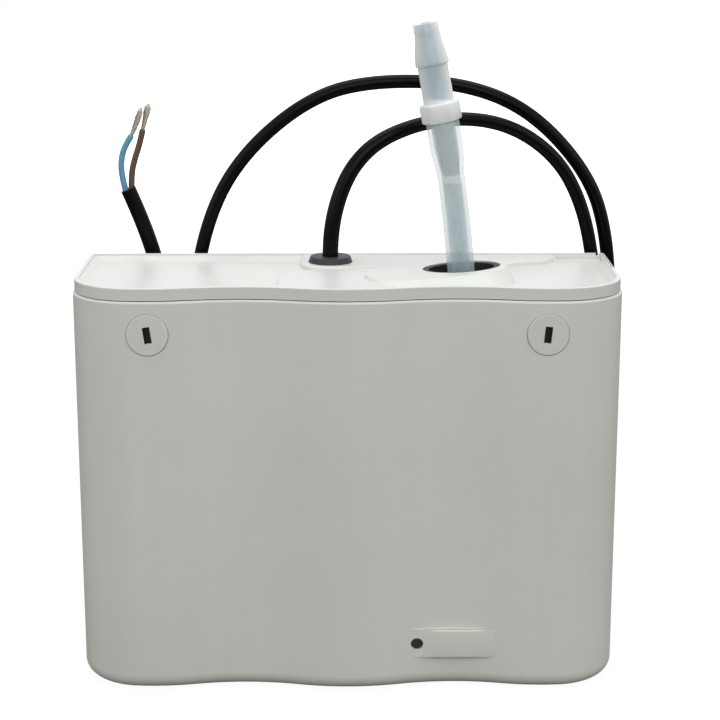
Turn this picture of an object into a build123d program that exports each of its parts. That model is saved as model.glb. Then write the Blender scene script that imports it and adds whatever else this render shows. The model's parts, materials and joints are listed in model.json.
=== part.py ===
from build123d import *

import os
from math import cos, hypot, radians, sin, sqrt, tan

# Condensate pump: a moulded tank with a waved front, and a pump module that hangs
# from the tank's lid. X is the width, the front faces -Y, +Z is up, in millimetres.
# The origin is under the middle of the tank, on the surface that it stands on.

# ---------------------------------------------------------------- casing
CASE_WIDTH = 180.0
CASE_DEPTH = 63.0
TANK_HEIGHT = 132.7
WALL = 2.5
FLOOR = 2.5
BOTTOM_FILLET = 5.0
BACK_FILLET = 1.5
RIM_ROUND = 0.8
CORNER_RADIUS = 21.0
WAVE_DEPTH = 4.2
DIP_X = 35.0
BULGE_X = 65.0
BULGE_SETBACK = 1.0

# ---------------------------------------------------------------- drain screw and its pad
PAD_LEFT_X = 21.0
PAD_WIDTH = 27.3
PAD_LOW_Z = 10.9
PAD_HEIGHT = 9.9
PAD_PROUD = 1.3
DRAIN_X = 22.9
DRAIN_Z = 15.7
DRAIN_HEAD_RADIUS = 1.95
DRAIN_SHANK_RADIUS = 1.45
DRAIN_SHANK_LENGTH = 5.5
DRAIN_HEAD_HEIGHT = 1.5
DRAIN_SINK = 0.5
DRAIN_BOSS_RADIUS = 4.2
DRAIN_BOSS_LENGTH = 3.0
SEAL_THICKNESS = 0.5

# ---------------------------------------------------------------- wall fixing holes
FIXING_SPACING = 140.0
FIXING_DROP = 20.7
FIXING_RADIUS = 2.25
FIXING_PAD_RADIUS = 6.5
FIXING_PAD_PROUD = 1.5

# ---------------------------------------------------------------- lid
LID_INSET = 0.6
SEAM_GAP = 0.3
LID_HEIGHT = 4.0
LID_PLATE = 2.0
LID_RIM_WIDTH = 1.5
LID_WALL_DROP = 0.6
LID_COVE_RUN = 3.6
LID_COVE_ROUND = 2.0
LID_EDGE_ROUND = 0.4
SKIRT_CLEARANCE = 0.4
SKIRT_THICKNESS = 2.0
SKIRT_DEPTH = 8.0
NOTCH_X = 87.0
NOTCH_WIDTH = 1.2
NOTCH_DEPTH = 0.9
POCKET_LEFT_X = 72.0
POCKET_FRONT_Y = 19.0
POCKET_ROUND = 2.0
SIDE_GROOVE_WIDTH = 0.5
SIDE_GROOVE_DEPTH = 0.8
SIDE_GROOVE_FRONT_Y = 4.0
PLATEAU_LEFT_X = -23.0
PLATEAU_BACK_Y = 8.0
PLATEAU_RISE = 1.1
PLATEAU_CORNER = 18.0
PLATEAU_ROUND = 0.9
DECK_RISE = 1.7
DECK_ROUND = 1.0
DECK_LEFT_X = -16.0
DECK_RIGHT_X = 71.4
DECK_LEFT_Y = 6.5
DECK_MIDDLE = (26.0, 9.5)
DECK_SHOULDER = (52.0, 15.0)
DECK_RIGHT_Y = 21.0
DECK_CORNER = 9.0

# ---------------------------------------------------------------- boss and hose opening
OPENING_X = 37.5
OPENING_Y = -5.0
OPENING_LENGTH = 25.7
OPENING_WIDTH = 19.0
BOSS_RISE = 4.1
BOSS_TILT = 3.6
BOSS_LAND = 1.0
BOSS_TAIL = 30.0
BOSS_FRONT_RUN = 11.0
BOSS_SIDE_RUN = 4.0
BOSS_EDGE_ROUND = 0.5
BOSS_LOFT_OVERRUN = 3.0
COLLAR_GAP = 0.05
COLLAR_WALL = 2.0
COLLAR_SINK = 0.3
COLLAR_LIP = 1.6
COLLAR_LIP_HEIGHT = 2.2

# ---------------------------------------------------------------- gasket
GASKET_OUTER_INSET = 1.3
GASKET_WIDTH = 1.4
GASKET_GROOVE = 0.8
GASKET_HEIGHT = 1.05

# ---------------------------------------------------------------- quarter-turn locks
LOCK_OFF_CREST = 1.0
LOCK_DROP = 10.8
LOCK_RADIUS = 6.7
LOCK_POCKET_GAP = 0.15
LOCK_DISC = 1.5
LOCK_PROUD = 0.1
LOCK_AXIAL_GAP = 0.1
LOCK_SLOT_WIDTH = 2.4
LOCK_SLOT_HEIGHT = 5.4
LOCK_SLOT_DEPTH = 3.0
LOCK_SLOT_TILT = {-1: -8.5, 1: 6.0}
LOCK_SHAFT_RADIUS = 3.0
LOCK_BORE_GAP = 0.08
LOCK_BOSS_RADIUS = 7.6
LOCK_BOSS_DEPTH = 5.1
LOCK_SQUARE = 4.0
CAM_LENGTH = 13.0
CAM_WIDTH = 5.0
CAM_THICKNESS = 2.0
CAM_GAP = 0.5
KEEPER_THICKNESS = 2.2
KEEPER_GAP = 0.8
KEEPER_RADIAL_GAP = 1.0
KEEPER_WALL = 3.0
KEEPER_SLOT = 7.0

# ---------------------------------------------------------------- cable entry
CABLE_X = -5.9
CABLE_Y = 16.7
CABLE_RADIUS = 2.7
GROMMET_RADIUS = 7.5
GROMMET_HEIGHT = 2.0
GROMMET_NECK_RADIUS = 5.0
GROMMET_BACK_RADIUS = 6.6
GROMMET_BACK_HEIGHT = 1.8
GROMMET_TAPER = 0.7
GROMMET_BACK_CHAMFER = 0.8
GROMMET_ROUND = 0.6
CORE_RADIUS = 1.05
CORE_SPREAD = 1.15

# ---------------------------------------------------------------- bracket
BRACKET_LEFT_X = -38.0
BRACKET_RIGHT_X = 68.0
BRACKET_Y = 10.0
BRACKET_THICKNESS = 2.0
BRACKET_LOW_Z = 44.0
FLANGE_BACK_Y = 25.0
FLANGE_THICKNESS = 2.0
LID_POST_LENGTH = 6.0
LID_POST_RADIUS = 3.6
LID_POST_Y = 18.5
LID_POST_X = (-26.0, 10.0, 34.0, 58.0)
BRACKET_RIB = 5.0
WINDOW_WIDTH = 8.0
WINDOW_SIDE = 6.0
WINDOW_ABOVE_YOKE = 42.0
WINDOW_BELOW_FLANGE = 8.0
POST_SCREW_GAP = 0.2
CABLE_HOLE_GAP = 1.3
SCREW_RADIUS = 1.45
SCREW_HEAD_RADIUS = 2.9
SCREW_HEAD_HEIGHT = 1.9
SCREW_BITE = 5.0
SCREW_GAP = 0.05

# ---------------------------------------------------------------- solenoid pump
PUMP_X = 39.0
PUMP_Y = -5.0
BARREL_RADIUS = 6.0
BARREL_BORE = 4.5
BARREL_LOW_Z = 44.0
BARREL_LENGTH = 56.0
YOKE_WIDTH = 35.0
YOKE_DEPTH = 20.0
YOKE_LOW_Z = 50.0
YOKE_HEIGHT = 38.0
YOKE_SHEET = 2.0
EAR_LENGTH = 8.0
EAR_HEIGHT = 18.0
BOBBIN_BORE_GAP = 0.1
BOBBIN_HUB_RADIUS = 8.0
BOBBIN_FLANGE_RADIUS = 13.0
BOBBIN_FLANGE = 2.0
WINDING_RADIUS = 12.4
PISTON_GAP = 0.1
PISTON_LENGTH = 24.0
PISTON_LOW_Z = 50.0
PISTON_PORT = 1.3
PISTON_END_GAP = 0.1
NOZZLE_FLANGE_RADIUS = 8.0
NOZZLE_FLANGE = 4.0
NOZZLE_SPIGOT = 4.0
NOZZLE_BORE = 1.5
VALVE_RADIUS = 2.8
VALVE_THICKNESS = 1.6
VALVE_CLEARANCE = 0.2
OUTLET_STEM_RADIUS = 2.6
OUTLET_BARB_LENGTH = 14.0
INLET_STEM_RADIUS = 2.1
INLET_BARB_LENGTH = 11.0
SPRING_RADIUS = 3.3
SPRING_WIRE_RADIUS = 0.4
SPRING_PITCH = 3.8
MOUNT_RADIUS = 4.0
MOUNT_SCREW_RADIUS = 1.5
MOUNT_SCREW_REACH = 2.8
MOUNT_NUT_RADIUS = 3.1
MOUNT_NUT_HEIGHT = 2.4
SHIELD_THICKNESS = 1.5
SHIELD_DROP = 5.0
SHIELD_Z = 97.0
SHIELD_FRONT_Y = -22.0
SHIELD_OVERHANG = 2.0
SHIELD_LIP = 4.0
SHIELD_HOLE_GAP = 0.3

# ---------------------------------------------------------------- suction side
TUBE_RADIUS = 4.2
TUBE_BORE = 2.6
STRAINER_RADIUS = 11.0
STRAINER_WALL = 1.3
STRAINER_CLEARANCE = 1.5
STRAINER_HEIGHT = 10.0
STRAINER_SLOTS = 16
STRAINER_SLOT_WIDTH = 1.5
STRAINER_SPOUT = 10.0

# ---------------------------------------------------------------- float switch
FLOAT_X = -8.0
FLOAT_Y = -5.0
STEM_RADIUS = 3.0
STEM_LOW_Z = 9.0
STEM_ARM_Z = 66.0
STEM_ARM_THICKNESS = 3.0
STEM_ARM_WIDTH = 15.0
STEM_HEAD_RADIUS = 5.5
STEM_HEAD_HEIGHT = 4.0
FLOAT_RADIUS = 12.0
FLOAT_HEIGHT = 18.0
FLOAT_BORE_GAP = 0.08
FLOAT_ROUND = 2.0
FLOAT_TRAVEL = 22.0
FLOAT_END_GAP = 0.2
CLIP_RADIUS = 5.2
CLIP_THICKNESS = 1.2
CLIP_GROOVE = 0.5
CLIP_LIFT = 1.0
CLIP_GAP_WIDTH = 2.5
FLOAT_NUT_RADIUS = 6.5
FLOAT_NUT_HEIGHT = 4.0

# ---------------------------------------------------------------- electronics
COVER_LEFT_X = -32.0
COVER_RIGHT_X = 10.0
COVER_DROP = 20.0
COVER_HEIGHT = 52.0
COVER_DEPTH = 15.5
COVER_WALL = 1.3
COVER_EAR = 6.0
COVER_EAR_HEIGHT = 8.0
COVER_EAR_THICKNESS = 2.0
BOARD_MARGIN = 1.2
BOARD_THICKNESS = 1.6
BOARD_Y = 24.0
TERMINAL_WIDTH = 16.0
TERMINAL_HEIGHT = 10.0
TERMINAL_DEPTH = 9.0
TERMINAL_SCREW_RADIUS = 1.6
TERMINAL_SCREW_SINK = 1.2
TERMINAL_BORE_GAP = 0.05
TERMINAL_BORE_DEPTH = 3.0
CLAMP_WIDTH = 19.0
CLAMP_HEIGHT = 7.0
CLAMP_DROP = 17.5
CLAMP_CROWN = 2.2
CLAMP_SCREW_OFFSET = 6.3
CLAMP_SCREW_HEAD_RADIUS = 2.4
CLAMP_SCREW_HEAD_HEIGHT = 1.5
TAIL_DROP = 22.0
TERMINAL_DROP = 3.0

LEAD_RADIUS = 0.8
LEAD_HOLE_RADIUS = 3.2
LEAD_HOLE_X = 5.6
LEAD_HOLE_DROP = 32.0
CAPACITOR_LEFT = 5.0
CAPACITOR_WIDTH = 14.0
CAPACITOR_HEIGHT = 12.0
CAPACITOR_DEPTH = 7.0
CHIP_LEFT = 24.0
CHIP_WIDTH = 10.0
CHIP_HEIGHT = 10.0
CHIP_DEPTH = 4.5
CHIP_TAB = 6.0
CHIP_TAB_THICKNESS = 1.3
CHIP_HOLE_RADIUS = 1.7
COMPONENTS_LIFT = 7.0

# ---------------------------------------------------------------- hose and its fitting
HOSE_RADIUS = 4.5
HOSE_BORE = 3.0
FITTING_POINT = (30.65, -6.0, 187.0)
FITTING_TILT = 10.5
FITTING_COLLAR_RADIUS = 6.8
FITTING_COLLAR_HEIGHT = 6.3
FITTING_SIDE_COUNT = 6
FITTING_NECK_RADIUS = 4.95
FITTING_NECK_LENGTH = 12.2
FITTING_BARB_RADIUS = 5.45
FITTING_TOP_RADIUS = 3.85
FITTING_CONE_LENGTH = 13.4
FITTING_TAIL_LENGTH = 17.6
FITTING_TAIL_RADIUS = 2.6
FITTING_TAIL_STEM = 3.0
FITTING_BORE = 1.9

# Route of the discharge hose, from the outlet nozzle up through the collar.
HOSE_ROUTE = [
    (39.0, -5.0, 105.0),
    (39.0, -5.0, 122.0),
    (36.2, -5.4, 150.0),
    (33.6, -6.0, 171.0),
]

# Route of the mains cable: out of the grommet, over and down behind the tank, along
# the floor, up and over in a large arch, down and along the floor again, and up to
# its bare end.
CABLE_ROUTE = [
    (-5.9, 16.7, 138.7),
    (-5.9, 16.7, 153.2),
    (4.7, 19.9, 175.2),
    (28.1, 25.4, 184.5),
    (52.7, 31.0, 183.2),
    (72.0, 35.5, 171.0),
    (82.5, 38.0, 152.8),
    (87.5, 38.5, 128.0),
    (90.0, 38.2, 98.0),
    (88.5, 37.6, 66.0),
    (80.0, 37.2, 37.0),
    (61.0, 37.0, 14.0),
    (34.0, 37.3, 3.2),
    (2.0, 37.8, 2.9),
    (-27.0, 37.5, 7.5),
    (-47.0, 37.2, 26.0),
    (-56.5, 37.0, 55.0),
    (-57.5, 37.5, 87.0),
    (-55.5, 38.2, 118.0),
    (-48.4, 39.0, 150.8),
    (-34.9, 39.6, 172.4),
    (-12.2, 40.0, 190.5),
    (9.7, 40.3, 195.9),
    (40.5, 40.8, 194.9),
    (64.4, 41.5, 185.0),
    (84.7, 42.5, 162.9),
    (92.0, 43.4, 141.5),
    (94.0, 44.0, 112.0),
    (93.5, 44.4, 80.0),
    (88.0, 44.6, 49.0),
    (72.0, 44.7, 22.0),
    (48.0, 44.8, 5.5),
    (18.0, 45.0, 2.9),
    (-14.0, 45.1, 3.1),
    (-38.0, 45.0, 13.0),
    (-52.0, 44.8, 36.0),
    (-57.0, 44.4, 64.0),
    (-60.0, 43.6, 92.0),
    (-65.5, 42.3, 122.0),
    (-71.0, 40.9, 144.0),
    (-76.9, 40.0, 158.1),
]

# Control points of the two cores beyond the sheath, and of the bare strands beyond them.
NEUTRAL_POINTS = [(-78.6, 39.8, 167.5), (-76.7, 39.6, 174.0), (-74.9, 39.5, 177.0)]
NEUTRAL_TIP = [(-73.1, 39.4, 181.5), (-71.5, 39.3, 186.5)]
LIVE_POINTS = [(-75.0, 40.0, 165.0), (-72.2, 40.1, 173.5), (-70.8, 40.2, 179.0)]
LIVE_TIP = [(-69.8, 40.2, 183.5), (-69.0, 40.2, 187.8)]
STRAND_RADIUS = 0.75

# Heights and depths that follow from the sizes above.
LID_BASE_Z = TANK_HEIGHT + SEAM_GAP
LID_FLOOR_Z = LID_BASE_Z + LID_PLATE
LID_TOP_Z = LID_BASE_Z + LID_HEIGHT
BOSS_TOP_Z = LID_FLOOR_Z + BOSS_RISE
DECK_Z = LID_FLOOR_Z + DECK_RISE
LOCK_X = BULGE_X - LOCK_OFF_CREST
LOCK_Z = TANK_HEIGHT - LOCK_DROP
FIXING_Z = TANK_HEIGHT - FIXING_DROP
FRONT_Y = -CASE_DEPTH / 2
BACK_Y = CASE_DEPTH / 2
BRACKET_BACK_Y = BRACKET_Y + BRACKET_THICKNESS
COVER_HIGH_Z = LID_BASE_Z - COVER_DROP
COVER_LOW_Z = COVER_HIGH_Z - COVER_HEIGHT
COVER_EAR_Z = COVER_LOW_Z + COVER_HEIGHT / 2
CLAMP_LOW_Z = LID_BASE_Z - CLAMP_DROP
TAIL_LOW_Z = LID_BASE_Z - TAIL_DROP
LEAD_HOLE_Z = LID_BASE_Z - LEAD_HOLE_DROP

# How far joined pieces run into each other, and how far cuts run past a face.
OVERLAP = 0.5
OVERRUN = 1.0
LONG_OVERRUN = 10.0
BOTTOM_ALIGN = (Align.CENTER, Align.CENTER, Align.MIN)


# ================================================================ helpers
def rod(radius, low_z, high_z, x=0.0, y=0.0):
    """Upright cylinder between two heights."""
    return Pos(x, y, low_z) * Cylinder(radius, high_z - low_z, align=BOTTOM_ALIGN)


def ring(outer_radius, inner_radius, low_z, high_z, x=0.0, y=0.0):
    """Upright tube between two heights."""
    return rod(outer_radius, low_z, high_z, x, y) - rod(inner_radius, low_z - 1, high_z + 1, x, y)


def level_rod(radius, low_y, high_y, x, z):
    """Cylinder along Y between two depths."""
    return Pos(x, low_y, z) * Rot(-90, 0, 0) * Cylinder(radius, high_y - low_y, align=BOTTOM_ALIGN)


def block(low, high):
    """Box between two corners."""
    size = [b - a for a, b in zip(low, high)]
    centre = [(a + b) / 2 for a, b in zip(low, high)]
    return Pos(*centre) * Box(*size)


def towards(centre, target, distance):
    """Point at a distance from a centre, on the line to a target, in plan."""
    dx = target[0] - centre[0]
    dy = target[1] - centre[1]
    scale = distance / hypot(dx, dy)
    return (centre[0] + dx * scale, centre[1] + dy * scale)


def plan_arc(centre, start, end):
    """Arc in plan about a centre, the short way from start to end."""
    radius = hypot(start[0] - centre[0], start[1] - centre[1])
    middle = ((start[0] + end[0]) / 2, (start[1] + end[1]) / 2)
    return ThreePointArc(start, towards(centre, middle, radius), end)


def plan_outline(inset=0.0):
    """Plan of the casing, drawn in by an inset: flat back, round corners, waved front."""
    wave = (DIP_X ** 2 + WAVE_DEPTH ** 2) / (4 * WAVE_DEPTH)
    rise = WAVE_DEPTH - BULGE_SETBACK
    bulge = ((BULGE_X - DIP_X) ** 2 + rise ** 2) / (2 * rise) - wave
    half_width = CASE_WIDTH / 2
    crest_centre = (0.0, FRONT_Y + wave)
    dip_centre = (DIP_X, FRONT_Y + WAVE_DEPTH - wave)
    bulge_centre = (BULGE_X, FRONT_Y + BULGE_SETBACK + bulge)
    corner_x = half_width - CORNER_RADIUS
    reach = sqrt((bulge - CORNER_RADIUS) ** 2 - (corner_x - BULGE_X) ** 2)
    corner_centre = (corner_x, bulge_centre[1] - reach)
    crest_start = (0.0, FRONT_Y + inset)
    crest_end = towards(crest_centre, dip_centre, wave - inset)
    dip_end = towards(dip_centre, bulge_centre, wave + inset)
    bulge_end = towards(bulge_centre, corner_centre, bulge - inset)
    corner_end = (half_width - inset, corner_centre[1])
    back_corner = (half_width - inset, BACK_Y - inset)
    right = [
        plan_arc(crest_centre, crest_start, crest_end),
        plan_arc(dip_centre, crest_end, dip_end),
        plan_arc(bulge_centre, dip_end, bulge_end),
        plan_arc(corner_centre, bulge_end, corner_end),
        Line(corner_end, back_corner),
        Line(back_corner, (0.0, BACK_Y - inset)),
    ]
    left = [edge.mirror(Plane.YZ) for edge in right]
    return make_face(Wire(right + left))


def plan_slab(inset, low_z, high_z):
    """Plan of the casing, drawn in and extruded between two heights."""
    return Pos(0, 0, low_z) * extrude(plan_outline(inset), amount=high_z - low_z)


def back_edges(part):
    """The two upright edges at the back corners."""
    return part.edges().filter_by(Axis.Z).group_by(Axis.Y)[-1]


def barbs(stem_radius, barb_radius, tip_radius, length, count):
    """Hose tail along +Z from the origin: equal barbs that point the way the hose comes."""
    pitch = length / count
    points = [(0.0, 0.0), (stem_radius, 0.0)]
    for index in range(count):
        low = index * pitch
        top_radius = tip_radius if index == count - 1 else stem_radius
        points.append((stem_radius, low + pitch * 0.3))
        points.append((barb_radius, low + pitch * 0.3))
        points.append((top_radius, low + pitch))
    points.append((0.0, length))
    profile = Plane.XZ * make_face(Polyline(*points, close=True))
    return revolve(profile, axis=Axis.Z)


def screw(head_radius, head_height, shank_radius, shank_length):
    """Pan-head screw along +Z: its head above the origin, its shank below."""
    head = rod(head_radius, 0, head_height)
    head = fillet(head.edges().group_by(Axis.Z)[-1], min(0.6, head_height / 3))
    socket = Pos(0, 0, head_height) * (Box(head_radius, 0.7, 1.2) + Box(0.7, head_radius, 1.2))
    return head + rod(shank_radius, -shank_length, 0) - socket


def route_radii(route):
    """Arc radii for a cord's route, one for each corner."""
    radii = []
    for before, corner, after in zip(route, route[1:], route[2:]):
        first = Vector(*corner) - Vector(*before)
        second = Vector(*after) - Vector(*corner)
        turn = radians(first.get_angle(second))
        radii.append(0.45 * min(first.length, second.length) / tan(turn / 2))
    return radii


def route_path(route):
    """Straight runs joined by tangent arcs."""
    return FilletPolyline(*route, radius=route_radii(route))


def route_tube(route, radius, bore=0.0):
    """Round tube along a route."""
    path = route_path(route)
    start = Plane(origin=route[0], z_dir=Vector(*route[1]) - Vector(*route[0]))
    tube = sweep(start * Circle(radius), path=path)
    if bore > 0:
        tube = tube - sweep(start * Circle(bore), path=path)
    return tube


# ================================================================ tank
def lock_seat_y():
    """Depth of the flat behind a lock's disc."""
    bulge_face = FRONT_Y + BULGE_SETBACK
    return bulge_face + LOCK_DISC - LOCK_PROUD


def lock_boss_y():
    """Depth of the lock boss's inner end."""
    return FRONT_Y + BULGE_SETBACK + LOCK_BOSS_DEPTH


def pad_face_y():
    """Depth of the flat pad, which bridges the dip in the waved front."""
    return FRONT_Y + WAVE_DEPTH - PAD_PROUD


def make_tank():
    """Open tank with its floor, lock bosses, drain boss and wall fixing holes."""
    shell = plan_slab(0, 0, TANK_HEIGHT)
    floor_edges = shell.edges().group_by(Axis.Z)[0]
    round_edges = floor_edges.sort_by(Axis.Y)[:-2]
    shell = fillet(round_edges, BOTTOM_FILLET)
    shell = fillet(back_edges(shell), BACK_FILLET)
    shell = fillet(shell.edges().group_by(Axis.Z)[-1], RIM_ROUND)
    pad = block(
        (PAD_LEFT_X, pad_face_y(), PAD_LOW_Z),
        (PAD_LEFT_X + PAD_WIDTH, FRONT_Y + WAVE_DEPTH + WALL / 2, PAD_LOW_Z + PAD_HEIGHT),
    )
    shell = shell + pad
    cavity = plan_slab(WALL, FLOOR, TANK_HEIGHT + 1)
    cavity_edges = cavity.edges().group_by(Axis.Z)[0].sort_by(Axis.Y)[:-2]
    cavity = fillet(cavity_edges, BOTTOM_FILLET - WALL)
    tank = shell - cavity
    boss_room = plan_slab(WALL / 2, FLOOR / 2, TANK_HEIGHT)
    for side in (-1, 1):
        boss = level_rod(LOCK_BOSS_RADIUS, FRONT_Y, lock_boss_y(), side * LOCK_X, LOCK_Z)
        pocket = level_rod(
            LOCK_RADIUS + LOCK_POCKET_GAP, FRONT_Y - 1, lock_seat_y(), side * LOCK_X, LOCK_Z
        )
        bore = level_rod(
            LOCK_SHAFT_RADIUS + LOCK_BORE_GAP, FRONT_Y, lock_boss_y() + 1, side * LOCK_X, LOCK_Z
        )
        fixing_x = side * FIXING_SPACING / 2
        fixing_pad = level_rod(
            FIXING_PAD_RADIUS, BACK_Y - WALL - FIXING_PAD_PROUD, BACK_Y - WALL / 2, fixing_x, FIXING_Z
        )
        fixing = level_rod(FIXING_RADIUS, BACK_Y - LONG_OVERRUN, BACK_Y + OVERRUN, fixing_x, FIXING_Z)
        tank = tank + (boss & boss_room) - pocket - bore + fixing_pad - fixing
    drain_end = pad_face_y() + WALL + DRAIN_BOSS_LENGTH
    drain_boss = level_rod(DRAIN_BOSS_RADIUS, pad_face_y() + WALL / 2, drain_end, DRAIN_X, DRAIN_Z)
    head_seat = pad_face_y() + DRAIN_SINK + DRAIN_HEAD_HEIGHT + SEAL_THICKNESS
    counterbore = level_rod(DRAIN_HEAD_RADIUS + 0.1, FRONT_Y, head_seat, DRAIN_X, DRAIN_Z)
    drain_hole = level_rod(
        DRAIN_SHANK_RADIUS + SCREW_GAP, FRONT_Y, drain_end + 1, DRAIN_X, DRAIN_Z
    )
    return tank + drain_boss - counterbore - drain_hole


def make_drain_screw():
    """Drain screw, its head sunk in the pad."""
    seat = pad_face_y() + DRAIN_SINK + DRAIN_HEAD_HEIGHT
    body = screw(
        DRAIN_HEAD_RADIUS, DRAIN_HEAD_HEIGHT, DRAIN_SHANK_RADIUS, DRAIN_SHANK_LENGTH
    )
    return Pos(DRAIN_X, seat, DRAIN_Z) * Rot(90, 0, 0) * body


def make_drain_seal():
    """Sealing washer under the drain screw's head."""
    seat = pad_face_y() + DRAIN_SINK + DRAIN_HEAD_HEIGHT
    washer = ring(DRAIN_HEAD_RADIUS, DRAIN_SHANK_RADIUS + SCREW_GAP, 0, SEAL_THICKNESS)
    return Pos(DRAIN_X, seat, DRAIN_Z) * Rot(-90, 0, 0) * washer


# ================================================================ locks
def make_turn_lock(side):
    """Slotted lock disc with its shaft and the square that carries the cam."""
    x = side * LOCK_X
    face_y = lock_seat_y() - LOCK_AXIAL_GAP - LOCK_DISC
    disc = level_rod(LOCK_RADIUS, face_y, face_y + LOCK_DISC, x, LOCK_Z)
    disc = fillet(disc.edges().filter_by(GeomType.CIRCLE).sort_by(Axis.Y)[0], 0.3)
    shaft_end = lock_boss_y() + LOCK_AXIAL_GAP
    shaft = level_rod(LOCK_SHAFT_RADIUS, face_y + LOCK_DISC / 2, shaft_end, x, LOCK_Z)
    half = LOCK_SQUARE / 2
    square_end = lock_boss_y() + CAM_GAP + CAM_THICKNESS + 0.3
    square = block((x - half, shaft_end - 1, LOCK_Z - half), (x + half, square_end, LOCK_Z + half))
    slot = block(
        (-LOCK_SLOT_WIDTH / 2, face_y - 1, -LOCK_SLOT_HEIGHT / 2),
        (LOCK_SLOT_WIDTH / 2, face_y + LOCK_SLOT_DEPTH, LOCK_SLOT_HEIGHT / 2),
    )
    slot = Pos(x, 0, LOCK_Z) * Rot(0, LOCK_SLOT_TILT[side], 0) * slot
    return disc + shaft + square - slot


def make_lock_cam(side):
    """Cam on the lock's square end; upright it clears the lid's keeper."""
    x = side * LOCK_X
    low_y = lock_boss_y() + CAM_GAP
    cam = Pos(x, low_y, LOCK_Z) * Rot(-90, 0, 0) * extrude(
        SlotOverall(CAM_LENGTH, CAM_WIDTH, rotation=90), amount=CAM_THICKNESS
    )
    half = LOCK_SQUARE / 2
    hole = block((x - half, low_y - 1, LOCK_Z - half), (x + half, low_y + 4, LOCK_Z + half))
    return cam - hole


def keeper_half_width():
    """Half the width of a keeper, outside its round window."""
    return CAM_LENGTH / 2 + KEEPER_RADIAL_GAP + KEEPER_WALL


def make_keeper(side):
    """Slotted keeper that hangs from the lid behind a lock's boss."""
    x = side * LOCK_X
    front = lock_boss_y() + KEEPER_GAP
    back = front + KEEPER_THICKNESS
    window = CAM_LENGTH / 2 + KEEPER_RADIAL_GAP
    half = keeper_half_width()
    low_z = LOCK_Z - half
    plate = block((x - half, front, LOCK_Z), (x + half, back, LID_BASE_Z))
    plate = plate + level_rod(half, front, back, x, LOCK_Z)
    opening = level_rod(window, front - 1, back + 1, x, LOCK_Z)
    slot = block(
        (x - KEEPER_SLOT / 2, front - 1, low_z - 1), (x + KEEPER_SLOT / 2, back + 1, LOCK_Z)
    )
    return plate - opening - slot


# ================================================================ lid
def boss_plane(raise_by=0.0):
    """Tilted plane of the boss's land, which falls to the left."""
    slope = radians(BOSS_TILT)
    return Plane(
        origin=(OPENING_X, OPENING_Y, BOSS_TOP_Z + raise_by),
        x_dir=(cos(slope), 0, sin(slope)),
        z_dir=(-sin(slope), 0, cos(slope)),
    )


def below_boss_plane(part, raise_by=0.0):
    """What of a part lies under the boss's land."""
    size = 2 * CASE_WIDTH
    cutter = boss_plane(raise_by) * Box(size, size, CASE_DEPTH, align=BOTTOM_ALIGN)
    return part - cutter


def opening_prism(grow, low_z, high_z):
    """Oval prism on the opening's axis, grown by a margin."""
    oval = Ellipse(OPENING_LENGTH / 2 + grow, OPENING_WIDTH / 2 + grow)
    return Pos(OPENING_X, OPENING_Y, low_z) * extrude(oval, amount=high_z - low_z)


def make_boss():
    """Wedge-shaped boss round the opening, with a long front slope and a tail to the left."""
    land = OPENING_WIDTH / 2 + BOSS_LAND
    right = OPENING_X + OPENING_LENGTH / 2 + BOSS_LAND
    left = right - OPENING_LENGTH - 2 * BOSS_LAND - BOSS_TAIL / 2
    top_face = Pos((left + right) / 2, OPENING_Y) * SlotOverall(right - left, 2 * land)
    base_left = left - BOSS_SIDE_RUN
    base_right = right + BOSS_SIDE_RUN
    base_front = OPENING_Y - land - BOSS_FRONT_RUN
    base_back = OPENING_Y + land + BOSS_SIDE_RUN
    base_face = Pos((base_left + base_right) / 2, (base_front + base_back) / 2) * RectangleRounded(
        base_right - base_left, base_back - base_front, (base_back - base_front) / 2 - OVERLAP
    )
    top_height = BOSS_TOP_Z + BOSS_LOFT_OVERRUN - LID_FLOOR_Z
    low_face = Pos(0, 0, LID_FLOOR_Z - OVERLAP) * base_face
    solid = loft([low_face, Pos(0, 0, LID_FLOOR_Z + top_height) * top_face])
    solid = below_boss_plane(solid)
    return solid & plan_slab(LID_INSET + LID_RIM_WIDTH / 2, LID_BASE_Z, LID_TOP_Z + LONG_OVERRUN)


def make_deck():
    """Raised deck along the lid's back, which carries the cable grommet."""
    outline = Polyline(
        (DECK_LEFT_X, BACK_Y),
        (DECK_LEFT_X, DECK_LEFT_Y),
        DECK_MIDDLE,
        DECK_SHOULDER,
        (DECK_RIGHT_X, DECK_RIGHT_Y),
        (DECK_RIGHT_X, BACK_Y),
        close=True,
    )
    deck = Pos(0, 0, LID_BASE_Z) * extrude(make_face(outline), amount=DECK_Z - LID_BASE_Z)
    front_corners = deck.edges().filter_by(Axis.Z).sort_by(Axis.Y)[:4]
    deck = fillet(front_corners, DECK_CORNER)
    deck = fillet(deck.edges().group_by(Axis.Z)[-1], DECK_ROUND)
    return deck & plan_slab(LID_INSET + LID_RIM_WIDTH / 2, LID_BASE_Z, LID_TOP_Z)


def lid_recess():
    """Tray of the lid: a short upright wall, a wide cove and the flat floor."""
    shoulder_z = LID_TOP_Z - LID_WALL_DROP
    inner = LID_INSET + LID_RIM_WIDTH
    recess = plan_slab(inner, shoulder_z, LID_TOP_Z + 1)
    floor_face = Pos(0, 0, LID_FLOOR_Z) * plan_outline(inner + LID_COVE_RUN)
    shoulder_face = Pos(0, 0, shoulder_z) * plan_outline(inner)
    cove = loft([floor_face, shoulder_face], ruled=True)
    cove = fillet(cove.edges().group_by(Axis.Z)[0], LID_COVE_ROUND)
    pocket = block(
        (POCKET_LEFT_X, POCKET_FRONT_Y, LID_FLOOR_Z), (CASE_WIDTH / 2, BACK_Y, shoulder_z)
    )
    pocket = fillet(pocket.edges().filter_by(Axis.Z).group_by(Axis.X)[0], POCKET_ROUND)
    return recess + cove + (pocket & plan_slab(inner, LID_FLOOR_Z, shoulder_z))


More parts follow.
